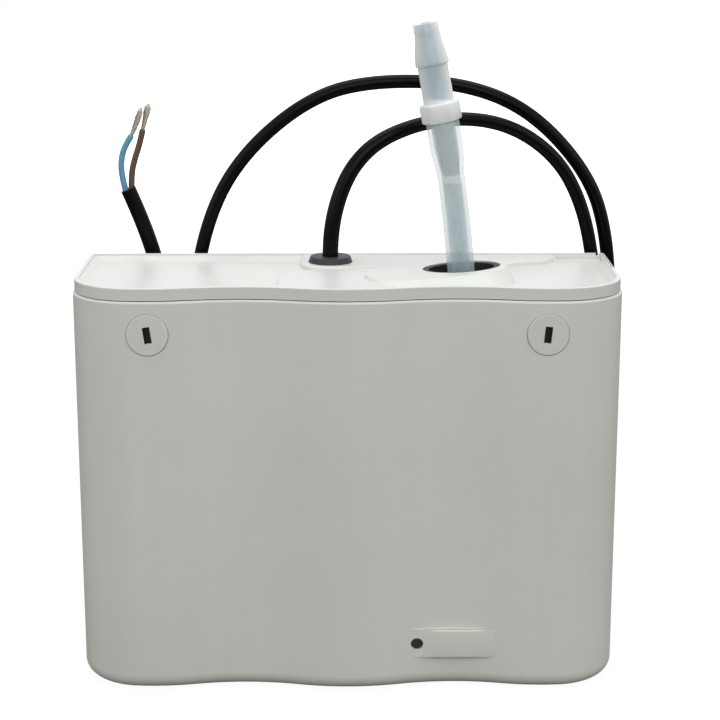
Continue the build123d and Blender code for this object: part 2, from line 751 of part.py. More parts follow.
def make_plateau():
    """Raised front panel of the lid, to the left of the boss."""
    right = OPENING_X + OPENING_LENGTH / 2
    plateau = block(
        (PLATEAU_LEFT_X, FRONT_Y - PLATEAU_CORNER, LID_BASE_Z),
        (right, PLATEAU_BACK_Y, LID_FLOOR_Z + PLATEAU_RISE),
    )
    corner = plateau.edges().filter_by(Axis.Z).sort_by(Axis.X)[:2].sort_by(Axis.Y)[-1]
    plateau = fillet(corner, PLATEAU_CORNER)
    plateau = fillet(plateau.edges().group_by(Axis.Z)[-1], PLATEAU_ROUND)
    return plateau & plan_slab(LID_INSET + LID_RIM_WIDTH / 2, LID_BASE_Z, LID_TOP_Z)


def make_lid():
    """Tray lid: raised rim, plateau, boss with the oval opening and screw posts."""
    plate = plan_slab(LID_INSET, LID_BASE_Z, LID_TOP_Z)
    plate = fillet(back_edges(plate), BACK_FILLET)
    plate = fillet(plate.edges().group_by(Axis.Z)[-1], LID_EDGE_ROUND)
    lid = plate - lid_recess()
    lid = lid + make_plateau() + make_deck() + make_boss()
    post_low = LID_BASE_Z - LID_POST_LENGTH
    for x in LID_POST_X:
        post = rod(LID_POST_RADIUS, post_low, LID_BASE_Z + OVERLAP, x, LID_POST_Y)
        hole_high = post_low + SCREW_BITE + OVERLAP
        hole = rod(SCREW_RADIUS + SCREW_GAP, post_low - OVERRUN, hole_high, x, LID_POST_Y)
        lid = lid + post - hole
    lid = lid - opening_prism(0, LID_BASE_Z - 5, BOSS_TOP_Z + 10)
    lid = lid - rod(GROMMET_NECK_RADIUS, LID_BASE_Z - 5, LID_TOP_Z + 5, CABLE_X, CABLE_Y)
    lid = lid - block(
        (CABLE_X - GROMMET_RADIUS, CABLE_Y - GROMMET_RADIUS, DECK_Z),
        (CABLE_X + GROMMET_RADIUS, CABLE_Y + GROMMET_RADIUS, LID_TOP_Z),
    )
    lid = lid - gasket_ring(LID_BASE_Z - 1, LID_BASE_Z + GASKET_GROOVE)
    notch = block(
        (NOTCH_X - NOTCH_WIDTH / 2, BACK_Y - 4, LID_TOP_Z - NOTCH_DEPTH),
        (NOTCH_X + NOTCH_WIDTH / 2, BACK_Y + 1, LID_TOP_Z + 1),
    )
    groove_x = CASE_WIDTH / 2 - LID_INSET - LID_RIM_WIDTH / 2
    groove = block(
        (groove_x - SIDE_GROOVE_WIDTH / 2, SIDE_GROOVE_FRONT_Y, LID_TOP_Z - SIDE_GROOVE_DEPTH),
        (groove_x + SIDE_GROOVE_WIDTH / 2, BACK_Y - LID_RIM_WIDTH - 1, LID_TOP_Z + 1),
    )
    return lid - notch - groove


def make_skirt():
    """Locating skirt under the lid, open in front where the keepers hang."""
    inset = WALL + SKIRT_CLEARANCE
    low_z = LID_BASE_Z - SKIRT_DEPTH
    skirt = plan_slab(inset, low_z, LID_BASE_Z)
    skirt = skirt - plan_slab(inset + SKIRT_THICKNESS, low_z - 1, LID_BASE_Z + 1)
    room = keeper_half_width() + KEEPER_GAP
    for side in (-1, 1):
        x = side * LOCK_X
        skirt = skirt - block((x - room, FRONT_Y, low_z - 1), (x + room, 0, LID_BASE_Z + 1))
    return skirt


def gasket_ring(low_z, high_z):
    """Closed ring over the tank's rim."""
    outer = plan_slab(GASKET_OUTER_INSET, low_z, high_z)
    inner = plan_slab(GASKET_OUTER_INSET + GASKET_WIDTH, low_z - 1, high_z + 1)
    return outer - inner


def make_gasket():
    """Rubber gasket in the lid's groove, just clear of the tank's rim."""
    top = LID_BASE_Z + GASKET_GROOVE
    return gasket_ring(top - GASKET_HEIGHT, top)


def make_collar():
    """Rubber collar that lines the opening, with a lip under the lid."""
    low_z = LID_BASE_Z - COLLAR_LIP_HEIGHT
    sleeve = opening_prism(-COLLAR_GAP, low_z, BOSS_TOP_Z + 10)
    sleeve = below_boss_plane(sleeve, -COLLAR_SINK)
    lip = opening_prism(COLLAR_LIP, low_z, LID_BASE_Z)
    bore = opening_prism(-COLLAR_WALL, low_z - 1, BOSS_TOP_Z + 10)
    return sleeve + lip - bore


def make_grommet():
    """Round rubber cable grommet, clipped through the lid."""
    top = DECK_Z + GROMMET_HEIGHT
    flange = Pos(CABLE_X, CABLE_Y, DECK_Z) * Cone(
        GROMMET_RADIUS, GROMMET_RADIUS - GROMMET_TAPER, GROMMET_HEIGHT, align=BOTTOM_ALIGN
    )
    flange = fillet(flange.edges().group_by(Axis.Z)[-1], GROMMET_ROUND)
    neck = rod(GROMMET_NECK_RADIUS - SCREW_GAP, LID_BASE_Z - 0.1, DECK_Z + 0.1, CABLE_X, CABLE_Y)
    back = rod(GROMMET_BACK_RADIUS, LID_BASE_Z - GROMMET_BACK_HEIGHT, LID_BASE_Z, CABLE_X, CABLE_Y)
    back = chamfer(back.edges().group_by(Axis.Z)[0], GROMMET_BACK_CHAMFER)
    bore = rod(CABLE_RADIUS, LID_BASE_Z - LONG_OVERRUN, top + OVERRUN, CABLE_X, CABLE_Y)
    return flange + neck + back - bore


# ================================================================ bracket
def flange_top_z():
    """Height of the bracket flange's upper face, against the lid's posts."""
    return LID_BASE_Z - LID_POST_LENGTH


def make_bracket():
    """Folded bracket: upright plate, top flange, side ribs and the float arm."""
    top = flange_top_z()
    plate = block((BRACKET_LEFT_X, BRACKET_Y, BRACKET_LOW_Z), (BRACKET_RIGHT_X, BRACKET_BACK_Y, top))
    flange = block(
        (BRACKET_LEFT_X, BRACKET_Y, top - FLANGE_THICKNESS), (BRACKET_RIGHT_X, FLANGE_BACK_Y, top)
    )
    bracket = plate + flange
    for x in (BRACKET_LEFT_X, BRACKET_RIGHT_X - BRACKET_THICKNESS):
        rib = block(
            (x, BRACKET_Y - BRACKET_RIB, BRACKET_LOW_Z), (x + BRACKET_THICKNESS, BRACKET_Y + OVERLAP, top)
        )
        bracket = bracket + rib
    arm = block(
        (FLOAT_X - STEM_ARM_WIDTH / 2, FLOAT_Y, STEM_ARM_Z),
        (FLOAT_X + STEM_ARM_WIDTH / 2, BRACKET_Y + OVERLAP, STEM_ARM_Z + STEM_ARM_THICKNESS),
    )
    arm_end = rod(STEM_ARM_WIDTH / 2, STEM_ARM_Z, STEM_ARM_Z + STEM_ARM_THICKNESS, FLOAT_X, FLOAT_Y)
    bracket = bracket + arm + arm_end
    bracket = bracket - rod(STEM_RADIUS + SCREW_GAP, STEM_ARM_Z - 1, STEM_ARM_Z + 9, FLOAT_X, FLOAT_Y)
    for x in LID_POST_X:
        post_hole_radius = SCREW_RADIUS + POST_SCREW_GAP
        bracket = bracket - rod(post_hole_radius, top - LONG_OVERRUN, top + OVERRUN, x, LID_POST_Y)
    cable_hole_radius = CABLE_RADIUS + CABLE_HOLE_GAP
    bracket = bracket - rod(
        cable_hole_radius, top - LONG_OVERRUN, top + OVERRUN, CABLE_X, CABLE_Y
    )
    for x, z in back_screw_places():
        bracket = bracket - level_rod(SCREW_RADIUS + SCREW_GAP, BRACKET_Y - 1, BRACKET_BACK_Y + 1, x, z)
    for x in mount_places():
        bracket = bracket - level_rod(
            MOUNT_SCREW_RADIUS + SCREW_GAP, BRACKET_Y - 1, BRACKET_BACK_Y + 1, x, yoke_middle_z()
        )
    bracket = bracket - level_rod(
        LEAD_HOLE_RADIUS, BRACKET_Y - OVERRUN, BRACKET_BACK_Y + OVERRUN, LEAD_HOLE_X, LEAD_HOLE_Z
    )
    window_right_x = BRACKET_RIGHT_X - WINDOW_SIDE
    window = block(
        (window_right_x - WINDOW_WIDTH, BRACKET_Y - OVERRUN, YOKE_LOW_Z + WINDOW_ABOVE_YOKE),
        (window_right_x, BRACKET_BACK_Y + OVERRUN, top - WINDOW_BELOW_FLANGE),
    )
    return bracket - window


def make_bracket_screws():
    """Screws from below, through the flange into the lid's posts."""
    seat = flange_top_z() - FLANGE_THICKNESS
    body = Rot(180, 0, 0) * screw(
        SCREW_HEAD_RADIUS, SCREW_HEAD_HEIGHT, SCREW_RADIUS, FLANGE_THICKNESS + SCREW_BITE
    )
    return [Pos(x, LID_POST_Y, seat) * body for x in LID_POST_X]


# ================================================================ pump
def yoke_middle_z():
    """Height of the middle of the yoke."""
    return YOKE_LOW_Z + YOKE_HEIGHT / 2


def mount_places():
    """X of the two rubber mounts, one in each ear of the yoke."""
    reach = YOKE_WIDTH / 2 + EAR_LENGTH / 2
    return (PUMP_X - reach, PUMP_X + reach)


def ear_back_y():
    """Depth of the back of the yoke's ears."""
    return PUMP_Y + YOKE_DEPTH / 2


def make_yoke():
    """Folded steel yoke round the coil, with an ear at each side."""
    low = (PUMP_X - YOKE_WIDTH / 2, PUMP_Y - YOKE_DEPTH / 2, YOKE_LOW_Z)
    high = (PUMP_X + YOKE_WIDTH / 2, PUMP_Y + YOKE_DEPTH / 2, YOKE_LOW_Z + YOKE_HEIGHT)
    inner_low = (low[0] + YOKE_SHEET, low[1] - 1, low[2] + YOKE_SHEET)
    inner_high = (high[0] - YOKE_SHEET, high[1] + 1, high[2] - YOKE_SHEET)
    loop = block(low, high)
    loop = fillet(loop.edges().filter_by(Axis.Y), 2.0)
    loop = loop - block(inner_low, inner_high)
    loop = loop - rod(BARREL_RADIUS + BOBBIN_BORE_GAP, low[2] - 1, high[2] + 1, PUMP_X, PUMP_Y)
    for side in (-1, 1):
        root = PUMP_X + side * (YOKE_WIDTH / 2 - YOKE_SHEET / 2)
        tip = PUMP_X + side * (YOKE_WIDTH / 2 + EAR_LENGTH)
        ear = block(
            (min(root, tip), ear_back_y() - YOKE_SHEET, yoke_middle_z() - EAR_HEIGHT / 2),
            (max(root, tip), ear_back_y(), yoke_middle_z() + EAR_HEIGHT / 2),
        )
        hole_x = PUMP_X + side * (YOKE_WIDTH / 2 + EAR_LENGTH / 2)
        hole = level_rod(
            MOUNT_SCREW_RADIUS + SCREW_GAP, ear_back_y() - 5, ear_back_y() + 5, hole_x, yoke_middle_z()
        )
        loop = loop + ear - hole
    return loop


def make_bobbin():
    """Coil bobbin between the yoke's arms."""
    low = YOKE_LOW_Z + YOKE_SHEET
    high = YOKE_LOW_Z + YOKE_HEIGHT - YOKE_SHEET
    hub = rod(BOBBIN_HUB_RADIUS, low, high, PUMP_X, PUMP_Y)
    bottom = rod(BOBBIN_FLANGE_RADIUS, low, low + BOBBIN_FLANGE, PUMP_X, PUMP_Y)
    top = rod(BOBBIN_FLANGE_RADIUS, high - BOBBIN_FLANGE, high, PUMP_X, PUMP_Y)
    bore = rod(BARREL_RADIUS + BOBBIN_BORE_GAP, low - 1, high + 1, PUMP_X, PUMP_Y)
    return hub + bottom + top - bore


def make_winding():
    """Copper winding, as one closed ring on the bobbin."""
    low = YOKE_LOW_Z + YOKE_SHEET + BOBBIN_FLANGE
    high = YOKE_LOW_Z + YOKE_HEIGHT - YOKE_SHEET - BOBBIN_FLANGE
    return ring(WINDING_RADIUS, BOBBIN_HUB_RADIUS, low, high, PUMP_X, PUMP_Y)


def barrel_top_z():
    """Height of the barrel's top end."""
    return BARREL_LOW_Z + BARREL_LENGTH


def make_barrel():
    """Pump barrel, a plain tube that the piston runs in."""
    return ring(BARREL_RADIUS, BARREL_BORE, BARREL_LOW_Z, barrel_top_z(), PUMP_X, PUMP_Y)


def make_nozzle(stem_radius, barb_radius, barb_length, bore):
    """End cap with a hose tail along +Z; its spigot points down into the barrel."""
    flange = rod(NOZZLE_FLANGE_RADIUS, 0, NOZZLE_FLANGE)
    flange = fillet(flange.edges().group_by(Axis.Z)[-1], 1.0)
    spigot = rod(BARREL_BORE - SCREW_GAP, -NOZZLE_SPIGOT, 0.5)
    tail = Pos(0, 0, NOZZLE_FLANGE) * barbs(stem_radius, barb_radius, stem_radius, barb_length, 3)
    cavity = rod(
        VALVE_RADIUS + VALVE_CLEARANCE, 1.0, 1.0 + VALVE_THICKNESS + 2 * VALVE_CLEARANCE
    )
    passage = rod(bore, -NOZZLE_SPIGOT - 1, NOZZLE_FLANGE + barb_length + 1)
    return flange + spigot + tail - cavity - passage


def make_outlet_nozzle():
    """Outlet cap with the barbs for the discharge hose."""
    nozzle = make_nozzle(OUTLET_STEM_RADIUS, HOSE_BORE, OUTLET_BARB_LENGTH, NOZZLE_BORE)
    return Pos(PUMP_X, PUMP_Y, barrel_top_z()) * nozzle


def make_inlet_nozzle():
    """Inlet cap with the barbs for the suction tube."""
    nozzle = make_nozzle(INLET_STEM_RADIUS, TUBE_BORE, INLET_BARB_LENGTH, NOZZLE_BORE * 0.8)
    return Pos(PUMP_X, PUMP_Y, BARREL_LOW_Z) * Rot(180, 0, 0) * nozzle


def make_valve():
    """Rubber valve disc for a nozzle's cavity."""
    low = 1.0 + VALVE_CLEARANCE
    disc = rod(VALVE_RADIUS, low, low + VALVE_THICKNESS)
    return chamfer(disc.edges().group_by(Axis.Z)[-1], 0.4)


def make_piston():
    """Steel piston with a port through it."""
    radius = BARREL_BORE - PISTON_GAP
    high = PISTON_LOW_Z + PISTON_LENGTH
    piston = rod(radius, PISTON_LOW_Z, high, PUMP_X, PUMP_Y)
    piston = chamfer(piston.edges(), 0.4)
    return piston - rod(PISTON_PORT, PISTON_LOW_Z - 1, high + 1, PUMP_X, PUMP_Y)


def make_spring():
    """Return spring between the piston and the outlet cap's spigot."""
    low = PISTON_LOW_Z + PISTON_LENGTH + PISTON_END_GAP + SPRING_WIRE_RADIUS
    high = barrel_top_z() - NOZZLE_SPIGOT - PISTON_END_GAP - SPRING_WIRE_RADIUS
    helix = Helix(pitch=SPRING_PITCH, height=high - low, radius=SPRING_RADIUS)
    profile = Plane(origin=helix @ 0, z_dir=helix % 0) * Circle(SPRING_WIRE_RADIUS)
    return Pos(PUMP_X, PUMP_Y, low) * sweep(profile, path=helix)


def make_mounts():
    """Rubber mounts between the yoke's ears and the bracket."""
    mounts = []
    for x in mount_places():
        sleeve = level_rod(MOUNT_RADIUS, ear_back_y(), BRACKET_Y, x, yoke_middle_z())
        hole = level_rod(
            MOUNT_SCREW_RADIUS + SCREW_GAP, ear_back_y() - 1, BRACKET_Y + 1, x, yoke_middle_z()
        )
        mounts.append(sleeve - hole)
    return mounts


def make_mount_screws():
    """Screws through the ears, the rubber mounts and the bracket."""
    seat = ear_back_y() - YOKE_SHEET
    length = BRACKET_BACK_Y - seat + MOUNT_SCREW_REACH
    body = Rot(90, 0, 0) * screw(SCREW_HEAD_RADIUS, SCREW_HEAD_HEIGHT, MOUNT_SCREW_RADIUS, length)
    return [Pos(x, seat, yoke_middle_z()) * body for x in mount_places()]


def make_mount_nuts():
    """Nuts on the mount screws, behind the bracket."""
    nuts = []
    for x in mount_places():
        nut = extrude(RegularPolygon(MOUNT_NUT_RADIUS, 6), amount=MOUNT_NUT_HEIGHT)
        nut = nut - rod(MOUNT_SCREW_RADIUS + SCREW_GAP, -OVERRUN, MOUNT_NUT_HEIGHT + OVERRUN)
        nuts.append(Pos(x, BRACKET_BACK_Y, yoke_middle_z()) * Rot(-90, 0, 0) * nut)
    return nuts


def make_shield():
    """Sloped drip shield over the coil, which sheds water to the front."""
    profile = Polyline(
        (BRACKET_Y, SHIELD_Z),
        (SHIELD_FRONT_Y, SHIELD_Z - SHIELD_DROP),
        (SHIELD_FRONT_Y, SHIELD_Z - SHIELD_DROP - SHIELD_LIP),
        (SHIELD_FRONT_Y + SHIELD_THICKNESS, SHIELD_Z - SHIELD_DROP - SHIELD_LIP),
        (SHIELD_FRONT_Y + SHIELD_THICKNESS, SHIELD_Z - SHIELD_DROP - SHIELD_THICKNESS),
        (BRACKET_Y, SHIELD_Z - SHIELD_THICKNESS),
        close=True,
    )
    half = BOBBIN_FLANGE_RADIUS + SHIELD_OVERHANG
    plate = Pos(PUMP_X - half, 0, 0) * extrude(Plane.YZ * make_face(profile), amount=2 * half)
    hole_radius = BARREL_RADIUS + SHIELD_HOLE_GAP
    hole = rod(hole_radius, SHIELD_Z - 2 * LONG_OVERRUN, SHIELD_Z + OVERRUN, PUMP_X, PUMP_Y)
    return plate - hole


# ================================================================ suction side
def strainer_top_z():
    """Height of the strainer's top."""
    return FLOOR + STRAINER_CLEARANCE + STRAINER_HEIGHT


def make_strainer():
    """Slotted suction strainer with a spout for the suction tube."""
    low = FLOOR + STRAINER_CLEARANCE
    high = strainer_top_z()
    cup = rod(STRAINER_RADIUS, low, high)
    cup = fillet(cup.edges().group_by(Axis.Z)[-1], 1.0)
    cup = cup - rod(STRAINER_RADIUS - STRAINER_WALL, low - 1, high - STRAINER_WALL)
    for index in range(STRAINER_SLOTS):
        slot = Pos(STRAINER_RADIUS, 0, low) * Box(
            4 * STRAINER_WALL, STRAINER_SLOT_WIDTH, 2 * (STRAINER_HEIGHT - 3 * STRAINER_WALL)
        )
        cup = cup - Rot(0, 0, index * 360 / STRAINER_SLOTS) * slot
    spout = Pos(0, 0, high - OVERLAP) * barbs(
        INLET_STEM_RADIUS, TUBE_BORE, INLET_STEM_RADIUS, STRAINER_SPOUT, 3
    )
    cup = cup + spout - rod(NOZZLE_BORE * 0.8, low - 1, high + STRAINER_SPOUT + 1)
    return Pos(PUMP_X, PUMP_Y, 0) * cup


def make_suction_tube():
    """Suction tube from the strainer's spout to the inlet nozzle."""
    low = strainer_top_z() + 1
    high = BARREL_LOW_Z - NOZZLE_FLANGE - 0.5
    return ring(TUBE_RADIUS, TUBE_BORE, low, high, PUMP_X, PUMP_Y)


# ================================================================ float switch
def make_stem():
    """Float stem with the level switches inside, its head on the bracket's arm."""
    arm_top = STEM_ARM_Z + STEM_ARM_THICKNESS
    stem = rod(STEM_RADIUS, STEM_LOW_Z, arm_top + 1, FLOAT_X, FLOAT_Y)
    stem = chamfer(stem.edges().group_by(Axis.Z)[0], 0.5)
    head = rod(STEM_HEAD_RADIUS, arm_top, arm_top + STEM_HEAD_HEIGHT, FLOAT_X, FLOAT_Y)
    head = fillet(head.edges().group_by(Axis.Z)[-1], 1.5)
    groove = ring(
        STEM_RADIUS + OVERRUN,
        STEM_RADIUS - CLIP_GROOVE,
        STEM_LOW_Z + CLIP_LIFT,
        STEM_LOW_Z + CLIP_LIFT + CLIP_THICKNESS,
        FLOAT_X,
        FLOAT_Y,
    )
    return stem + head - groove


def make_float():
    """Closed-cell float ring, at the bottom of its travel."""
    low = STEM_LOW_Z + CLIP_LIFT + CLIP_THICKNESS + FLOAT_END_GAP
    body = rod(FLOAT_RADIUS, low, low + FLOAT_HEIGHT, FLOAT_X, FLOAT_Y)
    body = fillet(body.edges(), FLOAT_ROUND)
    return body - rod(STEM_RADIUS + FLOAT_BORE_GAP, low - 1, low + FLOAT_HEIGHT + 1, FLOAT_X, FLOAT_Y)


def make_float_clip():
    """Open retaining clip in the groove under the float."""
    low = STEM_LOW_Z + CLIP_LIFT
    clip = ring(CLIP_RADIUS, STEM_RADIUS - CLIP_GROOVE, low, low + CLIP_THICKNESS, FLOAT_X, FLOAT_Y)
    return clip - Pos(FLOAT_X, FLOAT_Y - CLIP_RADIUS, low) * Box(CLIP_GAP_WIDTH, 2 * CLIP_RADIUS - 1, 5)


def make_float_nut():
    """Plastic nut that holds the stem up to the arm."""
    low = STEM_ARM_Z - FLOAT_NUT_HEIGHT
    nut = extrude(RegularPolygon(FLOAT_NUT_RADIUS, 6), amount=FLOAT_NUT_HEIGHT)
    nut = Pos(FLOAT_X, FLOAT_Y, low) * nut
    high = low + FLOAT_NUT_HEIGHT
    return nut - rod(STEM_RADIUS + SCREW_GAP, low - OVERRUN, high + OVERRUN, FLOAT_X, FLOAT_Y)


# ================================================================ electronics
def back_screw_places():
    """X and Z of the screws that enter the bracket from behind."""
    ears = [(COVER_LEFT_X - COVER_EAR / 2, COVER_EAR_Z), (COVER_RIGHT_X + COVER_EAR / 2, COVER_EAR_Z)]
    clamp_z = CLAMP_LOW_Z + CLAMP_HEIGHT / 2
    return ears + [(CABLE_X - CLAMP_SCREW_OFFSET, clamp_z), (CABLE_X + CLAMP_SCREW_OFFSET, clamp_z)]


def make_cover():
    """Splash cover over the circuit board, open towards the bracket."""
    low_y = BRACKET_BACK_Y
    high_y = low_y + COVER_DEPTH
    cover = block((COVER_LEFT_X, low_y, COVER_LOW_Z), (COVER_RIGHT_X, high_y, COVER_HIGH_Z))
    cover = fillet(cover.edges().group_by(Axis.Y)[-1], 2.0)
    inside = block(
        (COVER_LEFT_X + COVER_WALL, low_y - 1, COVER_LOW_Z + COVER_WALL),
        (COVER_RIGHT_X - COVER_WALL, high_y - COVER_WALL, COVER_HIGH_Z - COVER_WALL),
    )
    cover = cover - inside
    for x, z in back_screw_places()[:2]:
        half = COVER_EAR / 2
        ear = block(
            (x - half - 0.2, low_y, z - COVER_EAR_HEIGHT / 2),
            (x + half + 0.2, low_y + COVER_EAR_THICKNESS, z + COVER_EAR_HEIGHT / 2),
        )
        cover = cover + ear - level_rod(SCREW_RADIUS + SCREW_GAP, low_y - 1, low_y + 3, x, z)
    cover = cover - block(
        (COVER_LEFT_X + COVER_WALL, low_y - 1, COVER_LOW_Z + COVER_WALL),
        (COVER_RIGHT_X - COVER_WALL, low_y + 3, COVER_HIGH_Z - COVER_WALL),
    )
    notch = block(
        (CABLE_X - CABLE_RADIUS - 0.4, low_y - 1, COVER_HIGH_Z - 3),
        (CABLE_X + CABLE_RADIUS + 0.4, CABLE_Y, COVER_HIGH_Z + 1),
    )
    round_end = rod(CABLE_RADIUS + 0.4, COVER_HIGH_Z - 3, COVER_HIGH_Z + 1, CABLE_X, CABLE_Y)
    return cover - notch - round_end


def make_cover_screws():
    """Screws through the cover's ears into the bracket."""
    seat = BRACKET_BACK_Y + COVER_EAR_THICKNESS
    length = COVER_EAR_THICKNESS + BRACKET_THICKNESS
    body = Rot(-90, 0, 0) * screw(SCREW_HEAD_RADIUS, SCREW_HEAD_HEIGHT, SCREW_RADIUS, length)
    return [Pos(x, seat, z) * body for x, z in back_screw_places()[:2]]


def make_board():
    """Circuit board on the cover's back wall."""
    margin = COVER_WALL + BOARD_MARGIN
    return block(
        (COVER_LEFT_X + margin, BOARD_Y, COVER_LOW_Z + margin),
        (COVER_RIGHT_X - margin, BOARD_Y + BOARD_THICKNESS, COVER_HIGH_Z - margin),
    )


def terminal_top_z():
    """Height of the terminal block's wire entries."""
    return TAIL_LOW_Z - TERMINAL_DROP


def make_terminal_block():
    """Two-way terminal block under the cable's end."""
    top = terminal_top_z()
    body = block(
        (CABLE_X - TERMINAL_WIDTH / 2, BOARD_Y - TERMINAL_DEPTH, top - TERMINAL_HEIGHT),
        (CABLE_X + TERMINAL_WIDTH / 2, BOARD_Y, top),
    )
    for side in (-1, 1):
        x = CABLE_X + side * CORE_SPREAD
        bore_radius = CORE_RADIUS + TERMINAL_BORE_GAP
        body = body - rod(bore_radius, top - TERMINAL_BORE_DEPTH, top + OVERRUN, x, CABLE_Y)
        body = body - level_rod(
            TERMINAL_SCREW_RADIUS,
            BOARD_Y - TERMINAL_DEPTH - OVERRUN,
            BOARD_Y - TERMINAL_DEPTH + TERMINAL_SCREW_SINK,
            CABLE_X + side * TERMINAL_WIDTH / 4,
            top - TERMINAL_HEIGHT / 2,
        )
    return body


def make_capacitor():
    """Film capacitor on the board."""
    left = COVER_LEFT_X + CAPACITOR_LEFT
    low = COVER_LOW_Z + COMPONENTS_LIFT
    body = block(
        (left, BOARD_Y - CAPACITOR_DEPTH, low),
        (left + CAPACITOR_WIDTH, BOARD_Y, low + CAPACITOR_HEIGHT),
    )
    return fillet(body.edges().group_by(Axis.Y)[0], 1.0)


def make_switch_chip():
    """Power switch on the board, with its metal tab."""
    left = COVER_LEFT_X + CHIP_LEFT
    right = left + CHIP_WIDTH
    low = COVER_LOW_Z + COMPONENTS_LIFT
    high = low + CHIP_HEIGHT
    body = block((left, BOARD_Y - CHIP_DEPTH, low), (right, BOARD_Y, high))
    tab = block((left, BOARD_Y - CHIP_TAB_THICKNESS, high - 1), (right, BOARD_Y, high + CHIP_TAB))
    hole = level_rod(
        CHIP_HOLE_RADIUS, BOARD_Y - CHIP_DEPTH, BOARD_Y + 1, (left + right) / 2, high + CHIP_TAB / 2
    )
    return body + tab - hole


def make_clamp():
    """Saddle that clamps the cable's sheath to the bracket."""
    crown_y = CABLE_Y + CABLE_RADIUS + CLAMP_CROWN
    half = CLAMP_WIDTH / 2
    body = block(
        (CABLE_X - half, BRACKET_BACK_Y, CLAMP_LOW_Z), (CABLE_X + half, crown_y, CLAMP_LOW_Z + CLAMP_HEIGHT)
    )
    body = fillet(body.edges().filter_by(Axis.Z).group_by(Axis.Y)[-1], 2.0)
    body = body - rod(CABLE_RADIUS, CLAMP_LOW_Z - 1, CLAMP_LOW_Z + CLAMP_HEIGHT + 1, CABLE_X, CABLE_Y)
    for x, z in back_screw_places()[2:]:
        body = body - level_rod(SCREW_RADIUS + SCREW_GAP, BRACKET_Y, crown_y + 1, x, z)
    return body


def make_clamp_screws():
    """Screws through the clamp into the bracket."""
    seat = CABLE_Y + CABLE_RADIUS + CLAMP_CROWN
    length = seat - BRACKET_Y
    body = Rot(-90, 0, 0) * screw(
        CLAMP_SCREW_HEAD_RADIUS, CLAMP_SCREW_HEAD_HEIGHT, SCREW_RADIUS, length
    )
    return [Pos(x, seat, z) * body for x, z in back_screw_places()[2:]]


def make_cable_tail():
    """Sheathed stretch of the cable inside the lid, through the grommet and the clamp."""
    return rod(CABLE_RADIUS, TAIL_LOW_Z, CABLE_ROUTE[0][2], CABLE_X, CABLE_Y)


def make_inner_lead(side):
    """One insulated core, from the end of the sheath into the terminal block."""
    x = CABLE_X + side * CORE_SPREAD
    return rod(CORE_RADIUS, terminal_top_z() - 2.5, TAIL_LOW_Z, x, CABLE_Y)


# ================================================================ inner leads
def make_coil_leads():
    """Two leads from the coil, along the bracket and through its hole."""
    leads = []
    top = YOKE_LOW_Z + YOKE_HEIGHT - YOKE_SHEET - BOBBIN_FLANGE / 2
    for side in (-1, 1):
        z = LEAD_HOLE_Z + side * 1.1
        start_x = PUMP_X - BOBBIN_FLANGE_RADIUS - 1 - side * 1.5
        route = [
            (start_x, PUMP_Y + YOKE_DEPTH / 2 + 2.2, top - 6),
            (start_x - 0.6, PUMP_Y + YOKE_DEPTH / 2 + 2.4, top + 1),
            (start_x - 9, BRACKET_Y - 2.4, z - 7),
            (LEAD_HOLE_X + 4.6, BRACKET_Y - 2.4, z - 1.5),
            (LEAD_HOLE_X + 1.0, BRACKET_Y - 2.2, z),
            (LEAD_HOLE_X + 1.0, BOARD_Y, z),
        ]
        leads.append(route_tube(route, LEAD_RADIUS))
    return leads


def make_float_leads():
    """Lead from the float stem's head to the bracket's hole."""
    head_top = STEM_ARM_Z + STEM_ARM_THICKNESS + STEM_HEAD_HEIGHT
    route = [
        (FLOAT_X, FLOAT_Y, head_top),
        (FLOAT_X, FLOAT_Y, head_top + 10),
        (FLOAT_X + 3.0, FLOAT_Y + 8.0, head_top + 20),
        (LEAD_HOLE_X - 1.8, BRACKET_Y - 4.0, LEAD_HOLE_Z + 0.6),
        (LEAD_HOLE_X - 1.8, BOARD_Y, LEAD_HOLE_Z + 0.6),
    ]
    return route_tube(route, LEAD_RADIUS)


# ================================================================ mains cable
def make_mains_cable():
    """Free length of the mains cable, from the grommet to the end of its sheath."""
    return route_tube(CABLE_ROUTE, CABLE_RADIUS)


def cable_end():
    """End of the sheath, its direction, and the sideways direction of its cores."""
    end = Vector(*CABLE_ROUTE[-1])
    along = (end - Vector(*CABLE_ROUTE[-2])).normalized()
    across = Vector(0, 1, 0).cross(along).normalized()
    return end, along, across


def core_route(side, points):
    """Route of a core: straight out of the sheath's end, then through its points."""
    end, along, across = cable_end()
    start = end + across * (side * CORE_SPREAD)
    out = start + along * 3.0
    return [tuple(start), tuple(out)] + points


def make_core(side, points):
    """Insulated core."""
    return route_tube(core_route(side, points), CORE_RADIUS)


def make_strands(points, tip):
    """Twisted bare strands at the end of a core, as one rod."""
    start = Vector(*points[-1])
    along = (start - Vector(*points[-2])).normalized()
    out = start + along * 1.5
    return route_tube([tuple(start), tuple(out)] + tip, STRAND_RADIUS)


# ================================================================ hose and fitting
def fitting_plane():
    """Plane of the fitting's collar, its normal up the fitting's axis."""
    tilt = radians(FITTING_TILT)
    return Plane(origin=FITTING_POINT, x_dir=(cos(tilt), 0, sin(tilt)), z_dir=(-sin(tilt), 0, cos(tilt)))


def hose_route():
    """Hose route, whose last run is on the fitting's axis, up to its collar."""
    return HOSE_ROUTE + [FITTING_POINT]


def make_hose():
    """Discharge hose, from the outlet barbs to the fitting's collar."""
    return route_tube(hose_route(), HOSE_RADIUS, HOSE_BORE)


